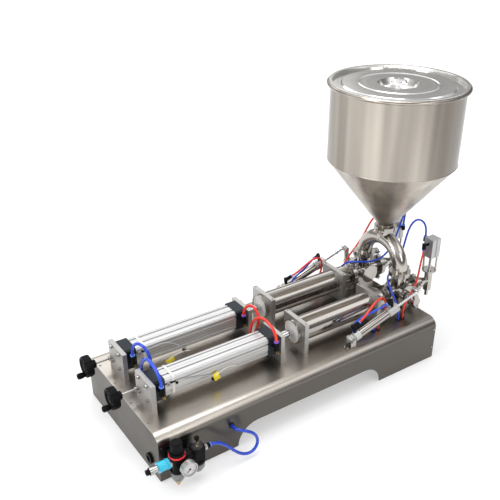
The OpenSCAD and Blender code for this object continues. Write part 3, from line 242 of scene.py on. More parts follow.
# vertical bands: the sheet's faint streaks, drawn strong as painted reflection bands; painted shade: darker
# towards the right
steelCone = steelPaint("coneSteel", {
    "colour": (0.52, 0.473, 0.414), "dark": 0.62, "light": 1.3, "roughness": 0.30, "rough": 0.08,
    "brush": (200, 200, 10), "cloud": (20, 20, 1.0), "fineShare": 0.12, "relief": 0.03,
    "side": (0.34, 0.43, 0.8)})
steelPolished = steelPaint("polishedPipeSteel", {
    "colour": (0.50, 0.475, 0.44), "dark": 0.80, "light": 1.10, "roughness": 0.12, "rough": 0.08,
    "brush": (90, 90, 90), "cloud": (12, 12, 12), "fineShare": 0.3, "relief": 0.05})
steelTurned = steelPaint("honedCylinderSteel", {
    "colour": (0.42, 0.395, 0.365), "dark": 0.80, "light": 1.10, "roughness": 0.13, "rough": 0.1,
    "brush": (900, 12, 12), "cloud": (5, 20, 20), "fineShare": 0.5, "relief": 0.05})
chrome = steelPaint("hardChrome", {
    "colour": (0.74, 0.74, 0.75), "dark": 0.92, "light": 1.05, "roughness": 0.09, "rough": 0.05,
    "brush": (500, 30, 30), "cloud": (20, 20, 20), "fineShare": 0.4, "relief": 0.03})
milledPlate = steelPaint("milledPlate", {
    "colour": (0.46, 0.452, 0.435), "dark": 0.9, "light": 1.08, "roughness": 0.40, "rough": 0.14,
    "brush": (60, 60, 700), "cloud": (14, 14, 14), "fineShare": 0.45, "relief": 0.10, "metallic": 0.9})
castSteel = steelPaint("castClampSteel", {
    "colour": (0.46, 0.44, 0.41), "dark": 0.76, "light": 1.12, "roughness": 0.20, "rough": 0.12,
    "brush": (220, 220, 220), "cloud": (30, 30, 30), "fineShare": 0.5, "relief": 0.12})
boltSteel = steelPaint("boltSteel", {
    "colour": (0.46, 0.45, 0.43), "dark": 0.76, "light": 1.1, "roughness": 0.22, "rough": 0.1,
    "brush": (400, 400, 400), "cloud": (60, 60, 60), "fineShare": 0.4, "relief": 0.06})
brass = steelPaint("turnedBrass", {
    "colour": (0.66, 0.46, 0.20), "dark": 0.82, "light": 1.1, "roughness": 0.26, "rough": 0.12,
    "brush": (300, 300, 60), "cloud": (40, 40, 40), "fineShare": 0.5, "relief": 0.08})
# painted shade darkens the ribs' grooves
barrelFinish = steelPaint("anodisedBarrel", {
    "colour": (0.63, 0.63, 0.625), "dark": 0.93, "light": 1.05, "roughness": 0.32, "rough": 0.12,
    "brush": (6, 900, 900), "cloud": (4, 30, 30), "fineShare": 0.6, "relief": 0.12, "metallic": 0.7,
    "ribs": 0.0125, "lean": 1.35, "ribShade": 0.34})
greyAnodised = steelPaint("greyAnodised", {
    "colour": (0.50, 0.50, 0.49), "dark": 0.9, "light": 1.08, "roughness": 0.4, "rough": 0.12,
    "brush": (700, 700, 12), "cloud": (25, 25, 25), "fineShare": 0.5, "relief": 0.1, "metallic": 0.8})
slate = steelPaint("slateAnodised", {
    "colour": (0.10, 0.105, 0.12), "dark": 0.8, "light": 1.2, "roughness": 0.42, "rough": 0.12,
    "brush": (20, 600, 600), "cloud": (30, 30, 30), "fineShare": 0.5, "relief": 0.1, "metallic": 0.7})
tealCap = steelPaint("darkCastCap", {
    "colour": (0.008, 0.0135, 0.021), "dark": 0.7, "light": 1.4, "roughness": 0.42, "rough": 0.16,
    "brush": (900, 900, 900), "cloud": (40, 40, 40), "fineShare": 0.6, "relief": 0.25, "metallic": 0.0,
    "specular": 0.3})


def lidPaint(name, facts):  # spun sheet: fine rings round the hopper's axis
    paint = Paint(name)
    x, y, z = paint.parts(paint.place())
    middle = at(*facts["middle"])
    x, y = x - middle.x, y - middle.y
    radius = (x * x + y * y) ** 0.5
    rings = {0: radius * facts["rings"], 1: z * facts["layers"], 2: 0.0}
    fine = paint.noise(paint.add("ShaderNodeCombineXYZ", None, rings), 1.0, 3.0)
    broad = paint.spread(paint.noise(paint.place(), facts["cloud"], 2.0), *facts["cloudSpan"])
    tone = fine * facts["fineShare"] + broad * (1 - facts["fineShare"])
    dark, light = tint(facts["colour"], facts["dark"]), tint(facts["colour"], facts["light"])
    return paint.shade({
        "Base Color": paint.between(tone, dark, light),
        "Metallic": 1.0,
        "Roughness": facts["roughness"] + facts["rough"] * (fine - 0.5),
        "Normal": paint.relief(fine, facts["relief"], brushFacts["bumpDepth"]),
    })


steelLid = lidPaint("spunLidSteel", {
    "colour": (0.88, 0.87, 0.85), "dark": 0.82, "light": 1.1, "roughness": 0.17, "rough": 0.12, "rings": 260,
    "layers": 30, "cloud": 7.0, "cloudSpan": (0.35, 0.65), "fineShare": 0.55, "relief": 0.08,
    "middle": (406.4, 0, 0)})


mouldFacts = {  # what a moulded finish has unless it says otherwise
    "dark": 0.9, "light": 1.15, "roughness": 0.4, "rough": 0.14, "pebble": 500, "relief": 0.06,
    "bumpDepth": 0.0003, "cloud": 25.0, "cloudSpan": (0.35, 0.65), "specular": 0.5, "coat": 0.0,
    "coatRough": 0.12, "soft": 0.0, "softDepth": 0.004}


def mouldedPaint(name, own):  # plastic or rubber with a fine moulded skin
    paint, facts = Paint(name), {**mouldFacts, **own}
    pebble = paint.noise(paint.place(), facts["pebble"], 3.0)
    cloud = paint.noise(paint.place(), facts["cloud"], 3.0)
    dark, light = tint(facts["colour"], facts["dark"]), tint(facts["colour"], facts["light"])
    return paint.shade({
        "Base Color": paint.between(paint.spread(cloud, *facts["cloudSpan"]), dark, light),
        "Roughness": facts["roughness"] + facts["rough"] * (pebble - 0.5),
        "Normal": paint.relief(pebble, facts["relief"], facts["bumpDepth"]),
        "Specular IOR Level": facts["specular"],
        "Coat Weight": facts["coat"],
        "Coat Roughness": facts["coatRough"],
        "Subsurface Weight": facts["soft"],
        "Subsurface Scale": facts["softDepth"],
    })


blackPlastic = mouldedPaint("blackPlastic", {
    "colour": (0.005, 0.005, 0.0055), "dark": 0.8, "light": 1.35, "pebble": 900, "relief": 0.08,
    "specular": 0.07})
rubber = mouldedPaint("blackRubber", {
    "colour": (0.012, 0.012, 0.012), "dark": 0.8, "light": 1.3, "roughness": 0.62, "pebble": 700,
    "relief": 0.25, "specular": 0.3})
wheelPlastic = mouldedPaint("handwheelPlastic", {
    "colour": (0.005, 0.005, 0.0055), "dark": 0.8, "light": 1.4, "roughness": 0.48, "pebble": 600,
    "relief": 0.12, "specular": 0.07})
whitePlastic = mouldedPaint("whitePistonPlastic", {
    "colour": (0.78, 0.78, 0.76), "dark": 0.95, "light": 1.03, "roughness": 0.38, "pebble": 300,
    "soft": 0.15})
gasketRubber = mouldedPaint("whiteGasket", {
    "colour": (0.72, 0.72, 0.70), "dark": 0.93, "light": 1.04, "roughness": 0.5, "relief": 0.1})
blueHose = mouldedPaint("blueHose", {
    "colour": (0.006, 0.055, 0.56), "dark": 0.82, "light": 1.2, "roughness": 0.24, "pebble": 200,
    "relief": 0.04, "coat": 0.3, "cloud": 9.0})
redHose = mouldedPaint("redHose", {
    "colour": (0.78, 0.030, 0.012), "dark": 0.85, "light": 1.12, "roughness": 0.26, "pebble": 200,
    "relief": 0.04, "coat": 0.3, "cloud": 9.0})
releaseRing = mouldedPaint("releaseRing", {
    "colour": (0.10, 0.22, 0.72), "roughness": 0.34})
violetRing = mouldedPaint("violetReleaseRing", {
    "colour": (0.16, 0.09, 0.60), "roughness": 0.34})
cyanPlastic = mouldedPaint("cyanSleeve", {
    "colour": (0.008, 0.44, 0.62), "dark": 0.85, "light": 1.2, "roughness": 0.28, "pebble": 400,
    "relief": 0.08, "coat": 0.3})
redRing = mouldedPaint("redRing", {
    "colour": (0.62, 0.010, 0.018), "dark": 0.85, "roughness": 0.3})
cableSkin = mouldedPaint("cableSkin", {
    "colour": (0.46, 0.46, 0.45), "dark": 0.88, "light": 1.12, "roughness": 0.45, "pebble": 700,
    "relief": 0.12})
yellowTag = mouldedPaint("yellowTag", {
    "colour": (0.90, 0.72, 0.02), "dark": 0.92, "light": 1.06, "pebble": 400})
whiteTie = mouldedPaint("whiteTie", {
    "colour": (0.74, 0.73, 0.68), "dark": 0.93, "light": 1.05, "pebble": 300})
sensorGrey = mouldedPaint("sensorGrey", {
    "colour": (0.30, 0.30, 0.31), "light": 1.1, "relief": 0.1})


clearFacts = {"hazeSpan": (0.35, 0.7), "hazeTint": 0.9, "roughness": 0.05, "rough": 0.08, "coat": 0.5}


def clearPaint(name, facts):  # clear plastic or glass, with a faint haze
    paint = Paint(name)
    haze = paint.spread(paint.noise(paint.place(), facts["haze"], 3.0), *clearFacts["hazeSpan"])
    return paint.shade({
        "Base Color": paint.between(haze, facts["colour"], tint(facts["colour"], clearFacts["hazeTint"])),
        "Roughness": clearFacts["roughness"] + clearFacts["rough"] * haze,
        "Alpha": facts["alpha"] + facts["more"] * haze,
        "Coat Weight": clearFacts["coat"],
    })


clearBowl = clearPaint("clearBowl", {
    "colour": (0.26, 0.27, 0.27), "haze": 60, "alpha": 0.42, "more": 0.16})
gaugeGlass = clearPaint("gaugeGlass", {
    "colour": (0.90, 0.92, 0.93), "haze": 40, "alpha": 0.07, "more": 0.03})
sightDome = clearPaint("sightDome", {
    "colour": (0.30, 0.31, 0.32), "haze": 50, "alpha": 0.12, "more": 0.05})
print("finishes mixed:", len(bpy.data.materials))


# Shapes in mesh code
def link(name, data):
    piece = bpy.data.objects.new(name, data)
    bpy.context.scene.collection.objects.link(piece)
    return piece


def makePiece(name, shape, paint, body="machine", sharp=34):  # sharp: the edges' least angle
    vertices, faces = shape
    mesh = bpy.data.meshes.new(name)
    mesh.from_pydata([tuple(v) for v in vertices], [], faces)
    form = bmesh.new()
    form.from_mesh(mesh)
    bmesh.ops.recalc_face_normals(form, faces=form.faces)
    form.to_mesh(mesh)
    form.free()
    mesh.polygons.foreach_set("use_smooth", [True] * len(mesh.polygons))
    mesh.set_sharp_from_angle(angle=math.radians(sharp))
    mesh.materials.append(paint)
    piece = link(name, mesh)
    if body:
        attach(piece, body)
    return piece


def turned(profile, start, along, sides=40, shape=None, closed=False):  # profile: distance and radius, mm
    along = Vector(along).normalized()
    side = along.orthogonal().normalized()
    other = along.cross(side)
    vertices, faces, rings = [], [], []
    for distance, radius in profile:
        centre = start + along * distance / 1000
        ring = [len(vertices)]
        if radius < 0.001:
            vertices.append(centre)
        else:
            ring = list(range(len(vertices), len(vertices) + sides))
            for k in range(sides):
                angle = 2 * math.pi * k / sides
                reach = (shape(angle, distance, radius) if shape else radius) / 1000
                vertices.append(centre + (side * math.cos(angle) + other * math.sin(angle)) * reach)
        rings.append(ring)
    for a, b in zip(rings, rings[1:] + (rings[:1] if closed else [])):
        for k in range(sides):
            n = (k + 1) % sides
            if len(a) == 1 and len(b) > 1:
                faces.append((a[0], b[n], b[k]))
            elif len(b) == 1 and len(a) > 1:
                faces.append((a[k], a[n], b[0]))
            elif len(a) > 1:
                faces.append((a[k], a[n], b[n], b[k]))
    return vertices, faces


def joined(*shapes):
    vertices, faces = [], []
    for points, sides in shapes:
        shift = len(vertices)
        vertices += list(points)
        faces += [tuple(i + shift for i in face) for face in sides]
    return vertices, faces


def slab(low, high, edge=0.0, steps=2, turn=None):  # rounded block between two corners, millimetres
    form = bmesh.new()
    bmesh.ops.create_cube(form, size=1)
    size = [(b - a) / 1000 for a, b in zip(low, high)]
    for vertex in form.verts:
        vertex.co = Vector([c * s for c, s in zip(vertex.co, size)])
    if edge:
        bmesh.ops.bevel(form, geom=form.edges[:], offset=edge / 1000, segments=steps, profile=0.5,
                        affect="EDGES")
    middle = at(*[(a + b) / 2 for a, b in zip(low, high)])
    form.verts.index_update()
    vertices = [middle + (turn @ v.co if turn else v.co) for v in form.verts]
    faces = [tuple(v.index for v in face.verts) for face in form.faces]
    form.free()
    return vertices, faces


def smoothRoute(route, pointCount=40):  # a cubic B-spline that starts and ends on the route's own ends
    points = [at(*p) for p in route]
    steps = max(3, pointCount // len(points))
    points = [2 * points[0] - points[1]] + points + [2 * points[-1] - points[-2]]
    path = []
    for a, b, c, d in zip(points, points[1:], points[2:], points[3:]):
        for k in range(steps):
            t = k / steps
            path.append((a * (1 - t) ** 3 + b * (3 * t ** 3 - 6 * t * t + 4)
                         + c * (1 + 3 * t + 3 * t * t - 3 * t ** 3) + d * t ** 3) / 6)
    path.append(points[-2])
    return path


def belt(low, count):  # the faces between two rings of points that follow each other
    turns = [(k, (k + 1) % count) for k in range(count)]
    return [(low + k, low + n, low + count + n, low + count + k) for k, n in turns]


def tube(path, radius, sides=14):
    vertices, faces = [], []
    side = Vector((0.3, 0.2, 0.9))  # any direction that no path starts in
    for i, point in enumerate(path):
        heading = (path[min(i + 1, len(path) - 1)] - path[max(i - 1, 0)]).normalized()
        side = (side - heading * side.dot(heading)).normalized()
        other = heading.cross(side)
        for k in range(sides):
            angle = 2 * math.pi * k / sides
            vertices.append(point + (side * math.cos(angle) + other * math.sin(angle)) * radius / 1000)
        if i:
            faces += belt((i - 1) * sides, sides)
    faces.append(tuple(range(sides)))
    faces.append(tuple(range(len(vertices) - sides, len(vertices))))
    return vertices, faces


def mirrored(route):
    return [(x, -y, z) for x, y, z in route]


def pathLength(path):
    return sum((b - a).length for a, b in zip(path, path[1:]))


# Hoses and cables, first of all the pieces: their routes follow the solids' own
hoseFacts = {"radii": {"wide": 4.0, "thin": 3.0, "cable": 1.5}, "roundness": 4}
supplyRoute = [(-338, -235, 85), (-316, -235, 83), (-294, -239, 64), (-272, -244, 36), (-250, -247, 16),
               (-224, -248, 12), (-204, -245, 30), (-208, -241, 56), (-226, -238, 72), (-244, -232, 80),
               (-256, -220, 80), (-254, -204, 78), (-254, -190, 78)]
rearNearRoute = [(-396, -120, 205), (-396, -120, 222), (-396, -102, 242), (-396, -66, 252), (-396, -32, 238),
                 (-396, -12, 205), (-396, -8, 165), (-396, -8, 125)]
rearFarRoute = [(-396, 34, 205), (-396, 34, 224), (-393, 22, 250), (-384, -6, 258), (-375, -24, 232),
                (-372, -20, 196), (-371, -10, 168), (-372, -4, 146), (-372, -4, 125)]
frontNearRoute = [(-65, -120, 205), (-65, -120, 222), (-66, -104, 243), (-69, -68, 255), (-73, -34, 240),
                  (-75, -14, 200), (-74, -8, 160), (-74, -8, 125)]
frontFarRoute = [(-65, 34, 205), (-65, 34, 222), (-62, 20, 248), (-57, -8, 254), (-53, -24, 228),
                 (-53, -16, 192), (-55, -4, 165), (-56, 0, 146), (-56, 0, 125)]
actuatorFrontRoute = [(280, -164, 225), (260, -160, 219), (230, -150, 205), (196, -145, 198),
                      (172, -144, 179), (180, -143, 152), (208, -143, 144), (238, -143, 156),
                      (259, -144, 156), (256, -144, 135), (256, -144, 125)]
actuatorRearRoute = [(185.5, -156, 194), (208, -153, 202), (240, -147, 226), (270, -144, 242),
                     (294, -144, 226), (296, -144, 188), (276, -144, 158), (272, -144, 140),
                     (272, -144, 125)]
nozzleRedRoute = [(497, -77, 296), (497, -77, 280), (474, -90, 248), (438, -120, 221), (396, -136.5, 206),
                  (372, -137.5, 168), (372, -139, 125)]
nozzleBlueRoute = [(532, -47, 316), (532, -47, 336), (530, -42, 360), (512, -27, 376), (490, -18, 356),
                   (476, -19, 304), (456, -26, 252), (420, -36, 229), (378, -52, 231), (352, -94, 226),
                   (354, -134, 178), (356, -139, 148), (356, -139, 125)]
farNozzleRedRoute = [(497, -77, 320), (497, -77, 336), (492, -80, 354), (474, -94, 358), (456, -110, 334),
                     (444, -119, 292), (430, -125, 262), (412, -132, 232), (390, -136.5, 206),
                     (370, -137.5, 168), (372, -139, 146), (372, -139, 125)]
nearCableRoute = [(-351.6, -106.8, 197), (-325, -107, 194), (-280, -107, 180), (-244, -109, 170),
                  (-220, -104, 156), (-218, -84, 146), (-229, -76, 140), (-230, -77, 125)]
farCableRoute = [(-351.6, 47.2, 197), (-336, 46.5, 199), (-308, 37, 211), (-276, 33, 196), (-246, 36, 166),
                 (-232, 58, 150), (-230, 76, 146), (-230, 77, 125)]
fixedHoses = (  # name, route, width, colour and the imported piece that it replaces
    ("supply", supplyRoute, "wide", "blue", "supply_hose"),
    ("rearNear", rearNearRoute, "wide", "blue", "cylinder_hoses"),
    ("rearFar", rearFarRoute, "wide", "blue", None),
    ("frontNear", frontNearRoute, "wide", "red", None),
    ("frontFar", frontFarRoute, "wide", "red", None),
    ("nearNozzleRed", nozzleRedRoute, "thin", "red", "nozzle_hoses"),
    ("farNozzleRed", mirrored(farNozzleRedRoute), "thin", "red", None),
    ("nearNozzleBlue", nozzleBlueRoute, "thin", "blue", None),
    ("farNozzleBlue", mirrored(nozzleBlueRoute), "thin", "blue", None),
)
hosePaints = {"blue": blueHose, "red": redHose}
lanes = (("near", list), ("far", mirrored))  # the far lane mirrors the near one's actuator


def layHose(name, route, size, paint, slotName, node=None):
    path, radius = smoothRoute(route), hoseFacts["radii"][size] / 1000
    curve = bpy.data.curves.new(name, "CURVE")
    curve.dimensions = "3D"
    curve.bevel_depth, curve.bevel_resolution = radius, hoseFacts["roundness"]
    curve.use_fill_caps = True
    spline = curve.splines.new("POLY")
    spline.points.add(len(path) - 1)
    for point, place in zip(spline.points, path):
        point.co = (*place, 1)
    curve.materials.append(paint)
    piece = link(name, curve)
    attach(piece, "machine")
    pathLength(path)
    2 * radius
    if node:
        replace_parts(piece, node)


def layMovingHose(name, route, paint):  # a tube mesh between the swinging actuator and the deck
    path, radius = smoothRoute(route), hoseFacts["radii"]["thin"]
    piece = makePiece(name, tube(path, radius), paint, None)
    pathLength(path)
    2 * radius / 1000
    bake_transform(piece)
    return piece


for name, route, size, colour, node in fixedHoses:
    layHose(name + "Hose", route, size, hosePaints[colour], colour + "_hose", node)
layHose("nearSensorCable", nearCableRoute, "cable", cableSkin, "grey_cable", "sensor_cables")
layHose("farSensorCable", farCableRoute, "cable", cableSkin, "grey_cable", None)
for lane, flip in lanes:
    rear = layMovingHose(lane + "ActuatorRedHose", flip(actuatorRearRoute), redHose)
    layMovingHose(lane + "ActuatorBlueHose", flip(actuatorFrontRoute), blueHose)
    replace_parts(rear, lane + "_actuator_hoses")
print("hoses and cables laid")


# Studio: pale floor, soft lamps and a quiet room
studioFacts = {
    "floorSize": 60.0,
    "floorDrop": 0.0003,
    "floorColour": (0.62, 0.62, 0.62),
    "floorTint": 0.99,
    "floorCloud": 1.5,
    "floorRoughness": 0.75,
    "floorShine": 0.2,
    "glowReach": (0.6, 4.0),
    "nearGlow": (0.40, 0.40, 0.40),
    "farGlow": (0.60, 0.60, 0.60),
    "lamps": [  # name, place, target, size, power
        ("overheadLamp", (0.0, 0.2, 2.8), (0.1, 0.0, 0.2), (2.0, 1.6), 34.0),
        ("leftLamp", (-2.4, -0.2, 1.5), (0.0, 0.0, 0.3), (1.0, 1.6), 20.0),
        ("backLamp", (1.2, 3.6, 2.6), (0.6, 1.6, 0.0), (4.0, 1.6), 20.0),
        ("frontLamp", (0.3, -2.6, 1.5), (0.0, 0.0, 0.25), (0.9, 1.2), 10.0),
        ("edgeLamp", (1.5, -1.6, 2.2), (0.0, -0.2, 0.1), (2.0, 1.2), 9.0),
    ],
    "roomColours": [  # from straight down to straight up, with the horizon half-way
        (0.0, (1.15, 1.15, 1.15)), (0.50, (1.15, 1.15, 1.15)), (0.525, (0.85, 0.85, 0.85)),
        (0.56, (0.34, 0.33, 0.32)), (0.62, (0.36, 0.35, 0.34)), (0.69, (0.80, 0.80, 0.81)),
        (0.80, (1.22, 1.23, 1.25)), (1.0, (0.95, 0.96, 0.98)),
    ],
    "roomStrength": 0.78,
    "backShare": 0.24,  # brighter towards the back
    "rightShare": 0.17,  # duller towards the right
    "backdrop": (0.97, 0.97, 0.97),
}


def layFloor(facts):
    half, drop = facts["floorSize"] / 2, facts["floorDrop"]
    mesh = bpy.data.meshes.new("studioFloor")
    corners = [(-half, -half, -drop), (half, -half, -drop), (half, half, -drop), (-half, half, -drop)]
    mesh.from_pydata(corners, [], [(0, 1, 2, 3)])
    paint = Paint("studioFloor")
    cloud = paint.noise(paint.place(), facts["floorCloud"], 2.0)
    x, y, z = paint.parts(paint.place())
    far = paint.spread((x * x + y * y) ** 0.5, *facts["glowReach"])
    pale = facts["floorColour"]
    mesh.materials.append(paint.shade({
        "Base Color": paint.between(cloud, tint(pale, facts["floorTint"]), pale),
        "Roughness": facts["floorRoughness"],
        "Specular IOR Level": facts["floorShine"],
        "Emission Color": paint.between(far, facts["nearGlow"], facts["farGlow"]),
        "Emission Strength": 1.0,
    }))
    link("studioFloor", mesh)


def lightRoom(facts):
    for name, place, target, size, power in facts["lamps"]:
        lamp = bpy.data.lights.new(name, "AREA")
        lamp.shape, lamp.size, lamp.size_y, lamp.energy = "RECTANGLE", size[0], size[1], power
        holder = link(name, lamp)
        holder.location = place
        holder.rotation_euler = (Vector(target) - Vector(place)).to_track_quat("-Z", "Y").to_euler()
    world = bpy.data.worlds.new("studioRoom")
    bpy.context.scene.world = world
    room = Paint("studioRoom", world)
    x, y, z = room.parts(room.add("ShaderNodeTexCoord", output="Generated"))
    colour = room.add("ShaderNodeValToRGB", {"stops": facts["roomColours"]}, {0: z * 0.5 + 0.5})
    power = facts["roomStrength"] + facts["backShare"] * y - facts["rightShare"] * x
    seen = room.add("ShaderNodeLightPath", output="Is Camera Ray")  # the backdrop itself stays plain
    background = room.add("ShaderNodeBackground", None, {
        "Color": room.between(seen, colour, facts["backdrop"]), "Strength": power + seen * (1 - power)})
    room.add("ShaderNodeOutputWorld", None, {"Surface": background})
    bpy.context.scene.view_settings.view_transform = "Standard"
    bpy.context.scene.view_settings.look = "None"


layFloor(studioFacts)
lightRoom(studioFacts)
print("studio lit")


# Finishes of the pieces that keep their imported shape
splitFacts = {  # where one finish ends and the next begins, millimetres
    "rimFoot": 786.2,
    "coneTop": 573.7,
    "brassTop": 173,
    "portX": 514.9,
    "laneY": 77,
    "nozzleHalf": 17.1,
    "valveX": -494.5,
    "dome": (-371, 15, 98.1),
    "plate": (-355, -345.8, 98),
    "contacts": (-455.5, -150, 39, 6.6),
}
pivotFacts = {"x": 154.0, "z": 154.0, "tilt": 16.955, "axisY": 163.5, "tube": (30.2, 135.8), "elbows": 14.6}


def dress(names, paint):
    for name in names.split():
        materials = nodes[name].data.materials
        materials.clear()
        materials.append(paint)


def dressLanes(names, paint):
    for name in names.split():
        dress("near_" + name + " far_" + name, paint)


def dressParts(name, paint, others):  # other finishes where a face's middle passes a test
    dress(name, paint)
    mesh = nodes[name].data
    for other, _ in others:
        mesh.materials.append(other)
    for polygon in mesh.polygons:
        place = (polygon.center - footShift) * 1000
        polygon.material_index = 0
        for index, (_, test) in enumerate(others):
            if test(place):
                polygon.material_index = index + 1


def atPorts(p):  # the elbows on the nozzles' small cylinders
    return p.x < splitFacts["portX"] or abs(abs(p.y) - splitFacts["laneY"]) > splitFacts["nozzleHalf"]


def atDome(p):
    x, half, foot = splitFacts["dome"]
    return p.z > foot and abs(p.x - x) < half


def atPlate(p):
    left, right, top = splitFacts["plate"]
    return left < p.x < right and p.z < top


def atContacts(p):
    x, y, z, reach = splitFacts["contacts"]
    return p.x < x and math.hypot(p.y - y, p.z - z) < reach


def alongActuator(p):
    turn = math.radians(pivotFacts["tilt"])
    return (p.x - pivotFacts["x"]) * math.cos(turn) + (p.z - pivotFacts["z"]) * math.sin(turn)


def offActuator(p):
    turn = math.radians(pivotFacts["tilt"])
    rise = (p.z - pivotFacts["z"]) * math.cos(turn) - (p.x - pivotFacts["x"]) * math.sin(turn)
    return math.hypot(rise, abs(p.y) - pivotFacts["axisY"])


dress("base_cover", steelSheet)
dress("end_panels", shadedEndSheet)
dress("foot_pads hose_grommets", rubber)
dress("screws_and_bolts", boltSteel)
dress("rear_plates front_plates split_clamps pressure_gauge", milledPlate)
dress("air_cylinders", barrelFinish)
dress("cylinder_caps", tealCap)
dress("feed_manifold", steelPolished)
dress("tri_clamps actuator_brackets", castSteel)
dress("hopper_lid", steelLid)
dress("clamp_gaskets", gasketRubber)
dressLanes("piston_rod actuator_rod needle", chrome)
dressLanes("paste_piston", whitePlastic)
dressLanes("paste_cylinder", steelTurned)
dressLanes("valve_body nozzle", steelPolished)
dressLanes("valve_rotor", castSteel)
dressLanes("sensor_slide", slate)
dress("valve_bank regulator_body regulator_knob lubricator_knob gauge_needle", blackPlastic)
dress("drain_cock", brass)
dress("slide_sleeve", cyanPlastic)
dress("clear_bowls", clearBowl)
dressParts("hopper", hopperSteelWithPaintedBands, [
    (steelPolished, lambda p: p.z > splitFacts["rimFoot"]),
    (steelCone, lambda p: p.z < splitFacts["coneTop"])])
dressParts("cylinder_fittings", blackPlastic, [(brass, lambda p: p.z < splitFacts["brassTop"])])
dressParts("nozzle_cylinders", greyAnodised, [(blackPlastic, atPorts)])
dressParts("slide_valve", boltSteel, [(blackPlastic, lambda p: p.x < splitFacts["valveX"])])
dressParts("lubricator_body", blackPlastic, [(sightDome, atDome), (boltSteel, atPlate)])
dressParts("end_socket", blackPlastic, [(brass, atContacts)])
for lane, _ in lanes:
    dressParts(lane + "_actuator", greyAnodised, [
        (steelTurned, lambda p: pivotFacts["tube"][0] < alongActuator(p) < pivotFacts["tube"][1]),
        (blackPlastic, lambda p: offActuator(p) > pivotFacts["elbows"])])
print("packed pieces dressed")


# Push-in fittings: a light release ring round each hose
releaseFacts = {"length": 3.2, "gap": 0.15, "wall": 2.4, "step": 0.4, "flange": (1.6, 1.4, 0.3)}


def addReleaseRing(name, route, size, body="machine", paint=releaseRing):
    start, heading = at(*route[0]), (Vector(route[1]) - Vector(route[0])).normalized()
    radius, far = hoseFacts["radii"][size], releaseFacts["length"]
    inner, outer = radius + releaseFacts["gap"], radius + releaseFacts["wall"]
    neck = outer - releaseFacts["step"]
    first, second, last = [far - back for back in releaseFacts["flange"]]
    profile = [(0, inner), (0, neck), (first, neck), (second, outer), (last, outer), (far, neck),
               (far, inner)]
    ring = turned(profile, start, heading, 28, closed=True)
    makePiece(name + "ReleaseRing", ring, paint, body)


for name, route, size, colour, node in fixedHoses:
    addReleaseRing(name, route, size, paint=violetRing if colour == "red" else releaseRing)
for lane, flip in lanes:
    addReleaseRing(lane + "ActuatorRear", flip(actuatorRearRoute), "thin", lane + "_barrel")
    addReleaseRing(lane + "ActuatorFront", flip(actuatorFrontRoute), "thin", lane + "_barrel")
print("release rings added")


# Handwheels with their threaded screws, and the revolving grips
wheelFacts = {
    "lanes": (("near", -41), ("far", 113)),
    "x": -498.0,
    "z": 163.0,
    "lobes": 8,
    "scallop": 2.0,
    "scallopReach": (25, 4),  # the scallops start at this radius and are full this much further out
    "rim": [(2.6, 0), (2.6, 4.2), (1.4, 5.2), (1.4, 9.2), (2.4, 10.4), (4.6, 11.6), (5.0, 12.6), (5.0, 18.5),
            (4.2, 20.2), (1.6, 22.6), (0.5, 23.8), (0, 25.4), (0.5, 27.2), (2, 28.3), (4, 28.5), (16, 28.5),
            (18, 28.3), (19.5, 27.2), (20, 25.2), (19.3, 23.4), (14.5, 20.6), (13.8, 18.4), (13.8, 13.5),
            (15, 12), (20, 11.2), (31, 11), (32, 10), (32, 3.9)],
    "bolt": [(0.4, 0), (0.4, 3.4), (1.0, 4.0), (2.8, 4.0)],
    "gripPlace": (-20.4, -5, -18.5),
    "grip": [(1.4, 0), (1.4, 2.4), (0.3, 3.0), (0, 4.4), (0.5, 6.2), (2.0, 7.6), (4, 8), (10.5, 8), (14, 7.6),
             (17.5, 6.9), (19.4, 6.1), (20, 5.0), (20, 3.05)],
    "spindle": [(18, 0), (18, 2.9), (23.2, 2.9), (23.2, 0)],
}
screwFacts = {
    "start": 31.0,
    "end": 459.0,
    "pitch": 2.0,
    "shaft": 2.9,
    "root": 2.85,
    "crest": 3.3,
    "crestShares": (0.45, 0.55),
    "shoulders": ((68.0, 74.7, 6.0), (87.3, 93.0, 5.5)),
    "shoulderBore": 2.8,
    "shoulderEdge": 0.4,
}


def wheelShape(angle, distance, radius):
    start, span = wheelFacts["scallopReach"]
    wave = max(0.0, math.cos(wheelFacts["lobes"] * angle)) ** 1.5
    return radius - wheelFacts["scallop"] * wave * min(1.0, max(0.0, (radius - start) / span))


def screwProfile(facts):
    thread = [(facts["start"], 0), (facts["start"], facts["shaft"])]
    x = facts["start"] + 0.5
    while x < facts["end"] - 1:
        rise, fall = [x + share * facts["pitch"] for share in facts["crestShares"]]
        thread += [(x, facts["root"]), (rise, facts["crest"]), (fall, facts["crest"])]
        x += facts["pitch"]
    return thread + [(facts["end"], facts["shaft"]), (facts["end"], 0)]


def shoulderProfile(facts, first, last, radius):
    bore, edge = facts["shoulderBore"], facts["shoulderEdge"]
    return [(first, bore), (first, radius - edge), (first + edge, radius), (last - edge, radius),
            (last, radius - edge), (last, bore)]


